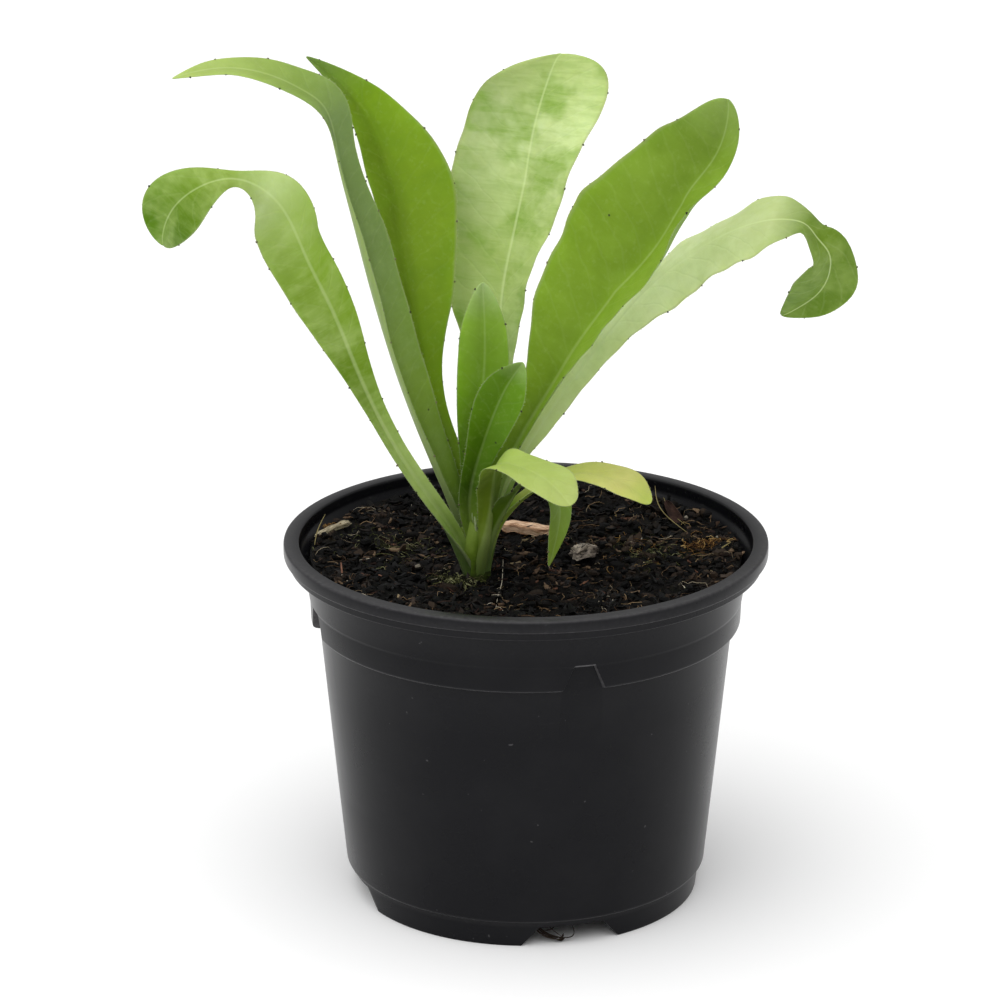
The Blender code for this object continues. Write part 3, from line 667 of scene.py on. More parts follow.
def patch_tone(x, y):
    """How light the litter is here, 0.2 to 1.5: dark moist patches between drier brown ones."""
    dry = 0.5 * np.exp(-((x - 28) / 26) ** 2 - ((y - 16) / 20) ** 2)
    noisy = 0.75 * value_noise(x, y, 11.0, 51) + 0.4 * value_noise(x, y, 4.5, 52)
    return np.clip(0.75 + dry + noisy, 0.2, 1.5)


def repeat_shape(points, faces):
    """Points of many copies in one list, and the faces of all of them."""
    count, size = points.shape[:2]
    offsets = np.arange(count) * size
    copies = [tuple(offset + k for k in face) for offset in offsets.tolist() for face in faces]
    return points.reshape(-1, 3), copies


def lay(rng, points, x, y, base, tilt):
    """Turn and tilt shapes at random and put them down at their places."""
    turned = np.einsum("nij,nkj->nki", turned_by(rng, len(x), tilt), points)
    return turned + pack(x, y, base)[:, None]


def make_lumps(name, seed, sizes, flat, material, count=0, sink=0.3, spots=None):
    """Rough lumps: unit blobs with each point pushed in or out, stretched, tilted and laid on the soil."""
    rng = np.random.default_rng(seed)
    shape, faces = blob_shape()
    x, y = scatter(rng, count, spots)
    count = len(x)
    size = rng.uniform(sizes[0] ** 0.4, sizes[1] ** 0.4, count) ** 2.5 / 2
    push = rng.uniform(0.7, 1.3, (count, len(shape), 1))
    stretch = pack(rng.uniform(0.9, 1.7, count), rng.uniform(0.6, 1.0, count), flat)
    base = soil_height(x, y) + soil_relief(x, y) + size * flat * (1 - 2 * sink)
    points = lay(rng, shape[None] * push * stretch[:, None] * size[:, None, None], x, y, base, 0.5)
    tone = np.repeat(rng.uniform(0, 1, count) ** 1.5 * patch_tone(x, y), len(shape))
    new_piece(name, *repeat_shape(points, faces), material, "soil", angle=30, tone=tone)


def make_flakes(name, seed, count, sizes, material, narrow, slot="soil", tilt=0.45, spots=None):
    """Thin flakes: an uneven nine-sided outline on two levels, bowed along its length, closed by a middle
    point above and below."""
    rng = np.random.default_rng(seed)
    sides = 9
    x, y = scatter(rng, count, spots)
    count, turn = len(x), circle(sides)
    size = rng.uniform(*sizes, count)[:, None] / 2
    width = rng.uniform(*narrow, count)[:, None]
    radius = rng.uniform(0.6, 1.1, (count, sides))
    px, py = size * radius * np.cos(turn), size * width * radius * np.sin(turn)
    bow = rng.uniform(-0.05, 0.16, count)[:, None]
    thick = rng.uniform(0.12, 0.4, count)[:, None]
    pz = bow * px ** 2 / size + 0.12 * size * rng.uniform(-1, 1, (count, sides))
    upper, lower = pack(px, py, pz + thick / 2), pack(px, py, pz - thick / 2)
    ends = np.zeros((count, 2, 3))
    ends[:, :, 2] = np.concatenate([thick / 2 + 0.05 * size, -thick / 2], axis=1)
    base = soil_height(x, y) + np.maximum(soil_relief(x, y), -0.1) + 0.25
    points = lay(rng, np.concatenate([upper, lower, ends], axis=1), x, y, base, tilt)
    tone = np.repeat(rng.uniform(0, 1, count) ** 1.6 * patch_tone(x, y), points.shape[1])
    new_piece(name, *repeat_shape(points, tube_faces(2, sides)), material, slot, angle=40, tone=tone)


def strand(path, radius, sides=4, taper=0.35):
    """A round strand along a path: rings square to it, thinner at both ends, closed by a point at each."""
    along = unit(np.gradient(path, axis=0))
    side = unit(np.cross(along, np.array([0.13, 0.27, 0.95])))
    up = np.cross(side, along)
    share = np.linspace(0, 1, len(path))
    width = radius * (taper + (1 - taper) * np.sin(np.pi * share) ** 0.5)[:, None, None]
    turn = circle(sides)[None, :, None]
    rings = path[:, None] + width * (np.cos(turn) * side[:, None] + np.sin(turn) * up[:, None])
    return tube(rings, np.stack([path[0] - along[0] * radius, path[-1] + along[-1] * radius]))


def curve_path(points, count):
    """A smooth path through points."""
    points = np.array(points, float)
    return spline(points, chord_knots(points), np.linspace(0, 1, count))


def make_strands(name, seed, count, length, radius, material, centre=None, spread=1.0, rise=0.6,
                 stretch=(1.0, 1.0)):
    """Fibres lying on the soil, all over it or round a centre: each a bent path over the relief, with one
    tone for the whole fibre."""
    rng = np.random.default_rng(seed)
    if centre is None:
        x, y = scatter(rng, count)
    else:
        x = centre[0] + rng.normal(size=count) * spread * stretch[0]
        y = centre[1] + rng.normal(size=count) * spread * stretch[1]
    share = np.linspace(-0.5, 0.5, 8)
    parts = []
    for i in range(len(x)):
        size = rng.uniform(*length)
        bearing, bend = rng.uniform(0, 2 * np.pi), rng.normal() * FIBRE_BEND
        turn = bearing + bend * share + 0.25 * rng.normal() * np.sin(9 * share)
        px, py = x[i] + size * share * np.cos(turn), y[i] + size * share * np.sin(turn)
        inside = np.minimum(1, FIBRE_REACH / np.hypot(px, py))
        px, py = px * inside, py * inside
        lift = rise * rng.uniform(0.1, 1.4) * (1 - (2 * share) ** 2) + rng.uniform(0, rise) * (share + 0.5)
        pz = soil_height(px, py) + np.maximum(soil_relief(px, py), -0.3) + 0.1 + lift
        parts.append((*strand(pack(px, py, pz), rng.uniform(*radius)), rng.uniform() ** 1.4))
    points, faces, tone = merge(parts)
    new_piece(name, points, faces, material, "soil", angle=180, tone=tone)


def make_litter():
    """Crumbs, flakes, fibres and grains in the colours of the peat mix."""
    peat = ((4, 4, 4), (7, 6, 6), (15, 12, 10), (32, 25, 20), (48, 38, 30))
    crumb = tone_material("peat_crumb", peat, 0.75, grain=2.0, depth=0.2)
    flake = ((5, 5, 5), (11, 9, 8), (32, 24, 19), (64, 48, 37), (112, 92, 72))
    bark = tone_material("bark_flake", flake, 0.6)
    fibre = tone_material("peat_fibre", ((14, 11, 9), (40, 30, 22), (84, 64, 46), (150, 126, 96)), 0.7)
    pale = tone_material("pale_fibre", ((118, 100, 76), (172, 156, 128), (212, 200, 178)), 0.7)
    grain = tone_material("perlite", ((112, 104, 92), (160, 152, 138), (196, 190, 180)), 0.8)
    moss = tone_material("moss", ((20, 21, 11), (42, 44, 22), (82, 84, 48), (138, 138, 102)), 0.8)
    rust = tone_material("rust_fibre", ((36, 22, 12), (84, 56, 30), (148, 112, 62), (188, 160, 106)), 0.7)
    red = tone_material("red_flake", ((30, 18, 14), (60, 38, 30), (104, 72, 56)), 0.7)
    make_lumps("crumbs", 3, (0.6, 3.3), 0.65, crumb, 1900)
    make_flakes("bark_flakes", 21, 1300, (0.8, 4.6), bark, (0.14, 0.42))
    shard = tone_material("dark_shard", ((6, 6, 6), (15, 12, 10), (34, 27, 22), (66, 53, 43)), 0.5, depth=0.2)
    make_flakes("dark_shards", 23, 480, (2.0, 6.0), shard, (0.18, 0.5), tilt=0.75)
    make_flakes("red_flakes", 22, 90, (1.2, 4.5), red, (0.2, 0.45))
    make_strands("fibres", 7, 520, (2, 9), (0.04, 0.12), fibre)
    make_strands("red_fibres", 15, 110, (2, 7), (0.03, 0.08), rust, (18, 8), 14.0, stretch=(1.2, 0.8))
    make_strands("pale_fibres", 8, 60, (2.5, 9), (0.03, 0.07), pale, rise=0.9)
    make_lumps("perlite_grains", 5, (0.8, 1.7), 0.8, grain, sink=0.1, spots=(
        (-29, -9), (-21, -48.5), (-18.6, -49), (-17, -48.8), (31.5, 16.5), (19, -41), (52, 12.5), (22, -38),
        (-47, -24), (-48.5, -22), (44, 26), (-8, 34), (10, -50), (26, 46)))
    make_strands("moss_by_crown", 9, 200, (1.2, 4), (0.06, 0.16), moss, (-18.5, -18.5), 2.8, 1.0)
    make_strands("moss_at_right", 10, 160, (2, 6), (0.04, 0.1), moss, (37, 2), 6.0)
    make_strands("moss_at_left", 13, 150, (2, 6), (0.04, 0.1), moss, (-36, 6), 7.0)
    make_strands("rust_tuft", 12, 130, (1.2, 3.6), (0.06, 0.16), rust, (48.0, 6.5), 1.6, 1.0, (2.0, 1.0))
    make_strands("rust_at_left", 14, 26, (1.0, 3.0), (0.06, 0.14), rust, (-53.5, 18.5), 1.2, 1.0)


# Leaves

LEDGES = ((-0.5, 0.8), (1.5, 0.9), (4.0, 0.5))      # height over the soil and radius where each ring begins
STALK_HALF_WIDTH = 1.5
BLADE = 0.5                 # thickness
HAIRS_PER_MM = 4.2          # of a leaf's length
GLAND_SPACING = 6.5

# Stations are (x, y, z, half width, roll), measured from the crown's middle at soil level. The fold and the
# midrib's shift to one side are given evenly from foot to tip. The bearing is that of the foot in the crown,
# the ledge its ring there, blunt the power that rounds the tip, and waves and wave are the number of ripples
# and their height.
LEAVES = {
    "leaf_left_low": dict(
        ledge=0, bearing=205, fold=(50, 28, 20, -5, -20, 5, 26), shift=(0, 0, 0, 0.1, 0.1, 0, 0.3),
        blunt=13, waves=4, wave=0.8,
        rows=((-6.6, -5.5, 14, 2.4, -38), (-18.5, -12, 34.5, 2.6, -28), (-31, -17, 61.5, 4.2, -26),
              (-38.4, -22, 81, 7.5, -25), (-44.8, -28, 97, 9.3, -34), (-51.8, -34, 113, 7.6, -45),
              (-61, -38, 118.5, 3, -55), (-68, -41, 117, 8.4, -50), (-74, -43, 111.5, 14, -42),
              (-78, -43, 102.5, 12, -38))),
    "leaf_left_high": dict(
        ledge=1, bearing=170, fold=(50, 32, 30, 34, 30, 10, 5), shift=(0, -0.4, -0.5, -0.5, -0.4, -0.1, 0),
        blunt=8, waves=3, wave=0.6,
        rows=((-5.5, 0, 19, 3.2, -60), (-13, -2, 40, 5, -58), (-22, -6, 69.5, 6.4, -58),
              (-29.7, -10, 99.5, 5.9, -58), (-35, -12, 120.5, 4.9, -60), (-38.7, -12.5, 132, 6.9, -60),
              (-44.5, -13, 136, 6.6, -62), (-52, -14, 139.5, 6.4, -64), (-62.5, -15, 141.5, 4.8, -64),
              (-69, -15.5, 141, 4.6, -62), (-77, -16, 139, 2.2, -60))),
    "leaf_back_left": dict(
        ledge=1, bearing=112, fold=(50, 30, 25, 25, 28), shift=(0, -0.2, -0.3, -0.2, 0.2),
        blunt=9, waves=4, wave=0.8,
        rows=((-3.5, 6, 21.5, 3.2, -10), (-10.5, 9, 43, 2.8, -15), (-14, 12, 59.5, 5.4, -20),
              (-15, 14, 74, 8.9, -25), (-16.5, 16, 87.5, 11.8, -25), (-18.5, 18, 101, 12.8, -25),
              (-24, 20, 113.5, 10.8, -28), (-30.5, 21, 123, 8.1, -35), (-38, 21, 130.5, 4.9, -40),
              (-44.5, 20, 136, 2.6, -45))),
    "leaf_back": dict(
        ledge=1, bearing=60, fold=(50, 30, 24, 20, 12), shift=(0, 0, 0.1, 0.1, -0.1), blunt=26,
        waves=5, wave=1.0, slant=5.0,
        rows=((2.5, 10, 25.5, 4.5, 20), (5.5, 16, 49, 8.4, 35), (5.5, 20, 70, 12.6, 38),
              (8.5, 24, 88, 16.3, 36), (12, 27, 105, 18.8, 32), (16.3, 30, 119, 17.6, 20),
              (19.6, 31.5, 127, 17.2, 6), (22.4, 32, 134, 16.8, -4))),
    "leaf_right_high": dict(
        ledge=1, bearing=-38, fold=(50, 34, 31, 31, 20), shift=(0, 0.3, 0.35, 0.2, 0.42, 0.3),
        blunt=12, waves=5, wave=0.8,
        rows=((7, 0, 31, 4, 40), (16.2, -1, 50, 5.2, 35), (24.2, -2, 66.5, 12.0, 45),
              (35.5, -3, 83, 18.9, 50), (44, -4, 97, 19.3, 48), (51, -5, 109.5, 14.6, 40),
              (58.5, -6, 118.5, 13, 28), (64, -7, 131.5, 10.5, 14))),
    "leaf_right_low": dict(
        ledge=1, bearing=10, fold=(50, 20, 0, -10, -10, 5, 20), shift=(0, 0, -0.2, -0.2, -0.1, 0, -0.4),
        blunt=15, waves=6, wave=0.6,
        rows=((8.6, 3.6, 25, 2.8, 66), (21.5, 7, 45.5, 5.3, 62), (34, 9, 62, 6, 68), (46, 9, 76, 10.8, 73),
              (58.5, 7, 87, 12.5, 76), (71, 4, 94.5, 13.1, 76), (81, 1, 97, 10.4, 76),
              (85.5, 0, 96, 8, 76), (88.5, -1, 92.5, 7.4, 62), (91, -1, 88.5, 9.6, 52),
              (90.5, -1, 83.5, 13.3, 46), (87, 0, 78, 14.2, 42), (83, 1, 74.5, 11.3, 38),
              (79.5, 1, 71.5, 8, 35))),
    "leaf_centre_tall": dict(
        ledge=2, bearing=90, fold=(50, 35, 30, 30, 25), blunt=6, waves=3, wave=0.4,
        rows=((-1.5, 1, 31.5, 3.6, 0), (1, 2, 47.5, 7.6, 0), (2, 3, 59, 8.5, 5), (2, 3, 69, 8.4, 5),
              (1.5, 2, 80, 6.2, 0))),
    "leaf_centre_short": dict(
        ledge=2, bearing=-90, fold=(50, 35, 30, 30, 25), blunt=8, waves=3, wave=0.4,
        rows=((-2, -4, 22, 3.4, 0), (1, -8, 37, 4.6, 0), (4.5, -12, 48.5, 7.1, 5),
              (8.5, -13, 57.5, 7.7, 5), (12, -14, 63, 5.2, 0))),
    "leaf_front_bright": dict(
        ledge=0, bearing=262, fold=(50, 30, 10, 5, 0), blunt=12, waves=2, wave=0.3,
        rows=((2.6, -5, 14, 2.6, 160), (4, -14, 30, 4.6, 135), (7, -26, 39.5, 6.8, 100),
              (15, -34, 39.5, 8.4, 82), (20.5, -41, 37.5, 8.6, 65), (24, -45, 34.5, 7.6, 52))),
    "leaf_front_hanging": dict(
        ledge=0, bearing=311, fold=(50, 25, 10, 5, 0), blunt=5, waves=2, wave=0.3,
        rows=((4.6, -4, 14, 2.6, 145), (8.5, -10, 24, 4.4, 125), (12, -16, 30.5, 6, 105),
              (16.5, -22, 33.5, 6.4, 90), (21, -27, 30, 6.4, 65), (21, -30, 23, 5.3, 48),
              (18.7, -32, 13.5, 2.2, 40))),
    "leaf_right_yellow": dict(
        ledge=0, bearing=357, fold=(50, 25, 10, 5, 0), blunt=12, waves=2, wave=0.3,
        rows=((6.2, 1, 14, 2.6, 90), (19.5, 4, 24.5, 4.2, 88), (28, 2, 27.5, 5, 82),
              (35.5, -1, 27, 7.6, 80), (42, -4, 24.5, 8.6, 76), (45.5, -6, 21.5, 7.8, 75))),
}

# Colours of each leaf from foot to tip as (share of the length, red, green, blue), matched to the leaf as it
# is lit, so their lighter and darker stretches are partly painted light and shade; painted light and shade
# across, from one margin to the other, darker on a side turned from the light; its underside; how strongly
# the mottled patches, which are partly painted sheen, and the midrib show; and the share of the length where
# a long stalk ends.
LEAF_COLOURS = {
    "leaf_left_low": dict(
        run=((0.06, 116, 146, 54), (0.22, 158, 182, 102), (0.42, 104, 136, 22), (0.6, 128, 162, 38),
             (0.72, 160, 188, 92), (0.78, 186, 206, 138), (0.85, 118, 148, 26), (0.97, 84, 122, 8)),
        across=(0.92, 0.95, 1.0), under=(112, 140, 70), blotch_and_sheen=(180, 200, 124), blotch_and_sheen_share=0.45, midrib=0.28),
    # The grey-green stretch of the run from about 0.55 to 0.74 is painted sheen and shade on the strip that
    # rises turned away from the light.
    "leaf_left_high": dict(
        run=((0.06, 92, 122, 34), (0.3, 118, 146, 52), (0.55, 114, 138, 76), (0.74, 116, 140, 80),
             (0.82, 134, 160, 72), (0.98, 170, 190, 104)),
        across=(1.0, 0.96, 0.98), under=(140, 160, 96), blotch_and_sheen=(132, 156, 94), blotch_and_sheen_share=0.25, midrib=0.18),
    # Its across values, darkest left of the middle, are painted shade from its fold and from leaf_left_high's
    # shadow.
    "leaf_back_left": dict(
        run=((0.06, 100, 132, 28), (0.35, 116, 150, 16), (0.6, 130, 162, 34), (0.88, 128, 164, 22),
             (0.99, 122, 150, 78)),
        across=(0.84, 0.76, 0.94), under=(120, 150, 70), blotch_and_sheen=(106, 142, 26), blotch_and_sheen_share=0.5, midrib=0.0),
    "leaf_back": dict(
        run=((0.06, 92, 122, 44), (0.33, 180, 202, 128), (0.6, 172, 192, 116), (0.85, 196, 212, 152),
             (0.98, 186, 204, 132)),
        across=(0.9, 1.0, 1.0), under=(150, 176, 96), blotch_and_sheen=(122, 158, 46), blotch_and_sheen_share=0.85, midrib=0.45),
    "leaf_right_high": dict(
        run=((0.06, 88, 118, 30), (0.32, 118, 150, 33), (0.7, 120, 152, 34), (0.91, 112, 142, 38),
             (0.995, 132, 158, 76)),
        across=(0.98, 0.94, 1.02), under=(124, 152, 74), blotch_and_sheen=(136, 166, 60), blotch_and_sheen_share=0.3, midrib=0.14),
    # The pale band up to about 0.76 of the run is painted light where the blade faces up, and the darker hook
    # after 0.815 painted shade where it turns down.
    "leaf_right_low": dict(
        run=((0.06, 138, 162, 84), (0.25, 200, 216, 148), (0.5, 232, 246, 192), (0.76, 190, 204, 144),
             (0.815, 98, 126, 28), (0.96, 96, 128, 24)),
        across=(0.98, 1.0, 1.0), under=(140, 170, 84), blotch_and_sheen=(172, 194, 112), blotch_and_sheen_share=0.3, midrib=0.5),
    # The pale first stop at the foot is painted light, set against the shade deep in the crown.
    "leaf_centre_tall": dict(
        run=((0.1, 122, 150, 54), (0.32, 70, 104, 14), (0.6, 110, 152, 18), (0.86, 136, 174, 54),
             (1.0, 166, 190, 124)),
        across=(1.0, 0.9, 0.96), under=(104, 138, 36), blotch_and_sheen=(122, 156, 56), blotch_and_sheen_share=0.4, midrib=0.1),
    # The pale first stop at the foot is painted light, set against the shade deep in the crown.
    "leaf_centre_short": dict(
        run=((0.12, 128, 156, 58), (0.36, 60, 90, 6), (0.6, 86, 126, 6), (0.9, 94, 134, 18),
             (1.0, 140, 168, 96)),
        across=(0.92, 0.9, 1.0), under=(96, 130, 30), blotch_and_sheen=(102, 140, 24), blotch_and_sheen_share=0.3, midrib=0.1),
    # The dark first stop at the foot is painted shade where the stalk meets the shaded crown.
    "leaf_front_bright": dict(
        run=((0.04, 74, 94, 28), (0.22, 140, 170, 64), (0.6, 156, 178, 84), (0.95, 168, 182, 106)),
        across=(1.0, 1.0, 1.0), under=(108, 132, 30), blotch_and_sheen=(166, 186, 98), blotch_and_sheen_share=0.3, midrib=0.08,
        stalk=0.35),
    # The dark first stop at the foot is painted shade where the stalk meets the shaded crown.
    "leaf_front_hanging": dict(
        run=((0.04, 60, 84, 14), (0.22, 90, 124, 20), (0.6, 106, 140, 30), (0.95, 120, 146, 48)),
        across=(1.0, 0.94, 0.9), under=(86, 116, 20), blotch_and_sheen=(112, 142, 44), blotch_and_sheen_share=0.3, midrib=0.08,
        stalk=0.35),
    "leaf_right_yellow": dict(
        run=((0.3, 118, 152, 34), (0.55, 200, 212, 104), (0.85, 208, 208, 124), (0.99, 186, 202, 92)),
        across=(1.0, 1.0, 1.0), under=(132, 156, 56), blotch_and_sheen=(208, 202, 116), blotch_and_sheen_share=0.35, midrib=0.06,
        stalk=0.35),
}


def leaf_rows(leaf):
    """The leaf's stations with its foot in front, inside the crown, and its upper face towards the axis."""
    height, radius = LEDGES[leaf["ledge"]]
    a = math.radians(leaf["bearing"])
    roll = 90 - leaf["bearing"] if leaf["ledge"] < 2 else 0
    next_roll = leaf["rows"][0][4]
    roll = next_roll + (roll - next_roll + 180) % 360 - 180
    half = STALK_HALF_WIDTH * (1, 0.9, 0.7)[leaf["ledge"]]
    foot = (radius * math.cos(a), radius * math.sin(a), height, half, roll)
    return np.array((foot,) + leaf["rows"], float) + (*CROWN, 0, 0)


def leaf_length(leaf):
    """Length of the line through the leaf's stations."""
    return np.linalg.norm(np.diff(leaf_rows(leaf)[:, :3], axis=0), axis=1).sum()


def along_leaf(values, t):
    """Values given evenly from foot to tip, read at every t."""
    return np.interp(t, np.linspace(0, 1, len(values)), values)


def leaf_frames(leaf, t):
    """Place, sideways and upward directions, half width and fold of a leaf at the shares t of its length."""
    rows = leaf_rows(leaf)
    knots = chord_knots(rows[:, :3])
    middle, half, roll = (spline(rows[:, part], knots, t) for part in (slice(0, 3), slice(3, 4), slice(4, 5)))
    half = np.maximum(half[:, 0], 0.5) * np.sqrt(np.clip(1 - t ** leaf["blunt"], 0, 1))
    fold = np.radians(along_leaf(leaf["fold"], t))
    after, before = (spline(rows[:, :3], knots, np.clip(t + step, 0, 1)) for step in (1e-4, -1e-4))
    along = unit(after - before)
    front = np.array([0.0, -1.0, 0.0])
    up = unit(front - (along @ front)[:, None] * along)
    across = np.cross(along, up)
    cos, sin = np.cos(np.radians(roll)), np.sin(np.radians(roll))
    return middle, cos * across + sin * up, cos * up - sin * across, half, fold


def leaf_surface(leaf, t, s):
    """Middle surface: straight out to both sides from the midrib, folded in a rounded V and rippled. The
    midrib is shifted sideways by a share of the half width that fades to nothing at the margins, and a
    slanted tip reaches further on one side."""
    middle, across, up, half, fold = leaf_frames(leaf, t)
    size = np.abs(s)
    vee = np.sqrt(s ** 2 + 0.012) - np.sqrt(0.012)
    margin, phase = (0.31 * np.sign(s))[None, :], leaf["waves"] * t[:, None]
    ripple = leaf["wave"] * np.sin(2 * np.pi * (phase + margin))
    ripple = ripple + 0.25 * np.sin(2 * np.pi * (2.7 * phase + 2.1 * margin + 0.2))
    ripple = ripple * size ** 3 * np.clip(half / 12, 0, 1)[:, None]
    swell = 0.07 * half[:, None] * size * (1 - size) * np.clip(half / 10, 0, 1)[:, None]
    shift = along_leaf(leaf.get("shift", (0, 0)), t)
    out = half[:, None] * (np.cos(fold)[:, None] * s + shift[:, None] * (1 - s ** 2))
    lift = (half * np.sin(fold))[:, None] * vee + ripple + swell
    surface = middle[:, None, :] + out[:, :, None] * across[:, None, :] + lift[:, :, None] * up[:, None, :]
    slant = leaf.get("slant", 0.0) * (t ** 6 * half / 12)[:, None] * s
    return surface + slant[:, :, None] * np.cross(up, across)[:, None, :], half


def make_leaf(name, leaf, material, slot, steps, columns):
    """A closed blade. Each cross section is a loop: the upper face from one margin to the other, grooved
    along the midrib, and the underside back, with a rounded rib that is thick at the stalk."""
    t = np.concatenate([1 - (1 - np.linspace(0, 1, steps)[:-1]) ** 1.3, [0.9996]])
    s = np.sin(np.linspace(-0.5, 0.5, columns + 1) * np.pi * 0.94) / np.sin(0.47 * np.pi)
    surface, half = leaf_surface(leaf, t, s)
    normal = unit(np.cross(np.gradient(surface, axis=1), np.gradient(surface, axis=0)))
    normal[-1] = normal[-2]
    side = half[:, None] * s
    edge = BLADE / 2 * np.sqrt(np.clip(1 - s ** 4, 0, 1))
    stalk = (1 - t)[:, None]
    large = min(1.0, max(row[3] for row in leaf["rows"]) / 9)
    upper = edge - (0.25 * stalk + 0.1) * np.exp(-(side / 0.7) ** 2)
    rib = large * (0.4 * stalk + 2.2 * stalk ** 5) * np.exp(-(side / (0.9 + 1.1 * stalk ** 3)) ** 2)
    top = surface + normal * upper[:, :, None]
    under = surface - normal * (edge + rib)[:, :, None]
    ends = np.stack([surface[0].mean(axis=0), leaf_surface(leaf, np.array([1.0]), np.array([0.0]))[0][0, 0]])
    points, faces = tube(np.concatenate([top, under[:, -2:0:-1]], axis=1), ends)
    pace = np.linalg.norm(np.diff(surface[:, columns // 2], axis=0), axis=1)
    arc = np.concatenate([[0.0], np.cumsum(pace)])
    across, along = np.meshgrid(np.concatenate([s, s[-2:0:-1]]), t)
    is_upper = np.concatenate([np.ones(columns + 1), np.zeros(columns - 1)])
    blade = pack(half[:, None] * across, arc[:, None], is_upper)
    blade = np.concatenate([blade.reshape(-1, 3), [(0, 0, 1), (0, arc[-1], 1)]])
    uv = pack(0.5 + 0.5 * across, along)
    uv = np.concatenate([uv.reshape(-1, 2), [(0.5, 0), (0.5, 1)]])
    new_piece(name + "_blade", points, faces, material, slot, [name], uv, angle=75, blade=blade)


def vein_group():
    """Masks from the leaf's own measure in mm: the midrib as a band that narrows to the tip, side veins that
    leave it slanting to the tip, the upper side, the share of the length and the rim of the margin."""
    group, spacing, result = new_group("leaf_veins", 6.0, (
        "Midrib", "Side veins", "Upper", "Along", "Across", "Margin", "Streaks"))
    measure = attribute(group, "blade", "Vector")
    blade, uv = split(measure), split(coordinate(group, "UV"))
    size = maths("ABSOLUTE", blade["X"])
    midrib = minus(1.0, ramp(maths("DIVIDE", size, minus(1.15, times(uv["Y"], 0.8))), 0.2, 1.0))
    bend = times(maths("POWER", size, 0.8), 1.5)
    other_side = times(maths("SIGN", blade["X"]), 0.23)
    wobble = times(noise(coordinate(group), 0.12, 2), 0.6)
    phase = plus(maths("DIVIDE", minus(blade["Y"], bend), spacing), other_side, wobble)
    veins = minus(1.0, ramp(maths("ABSOLUTE", maths("SINE", times(phase, math.pi))), 0.0, 0.3))
    edge = maths("ABSOLUTE", minus(times(uv["X"], 2.0), 1.0))
    fill(result, {
        "Midrib": midrib, "Side veins": times(veins, ramp(size, 0.4, 1.6)), "Upper": blade["Z"],
        "Along": uv["Y"], "Across": uv["X"], "Margin": ramp(edge, 0.94, 1.0),
        "Streaks": noise(mapped(measure, Scale=(0.07, 0.35, 1.0)), 1.0, 4.0, 0.65, 0.6, unit_size=1)})
    return group


VEINS = vein_group()


def speck_group():
    """Sparse specks of peat: where the nearest random point is closer than a fraction of a millimetre, in
    some cells."""
    group, spacing, result = new_group("peat_specks", 9.0, ("Specks",))
    cells = add(group, "ShaderNodeTexVoronoi", {
        "Vector": coordinate(group), "Scale": maths("DIVIDE", 1 / MM, spacing)}).outputs
    near = minus(1.0, ramp(times(cells["Distance"], spacing), 0.2, 0.45))
    fill(result, {"Specks": times(near, ramp(split(cells["Color"])["X"], 0.6, 0.62))})
    return group


SPECKS = speck_group()


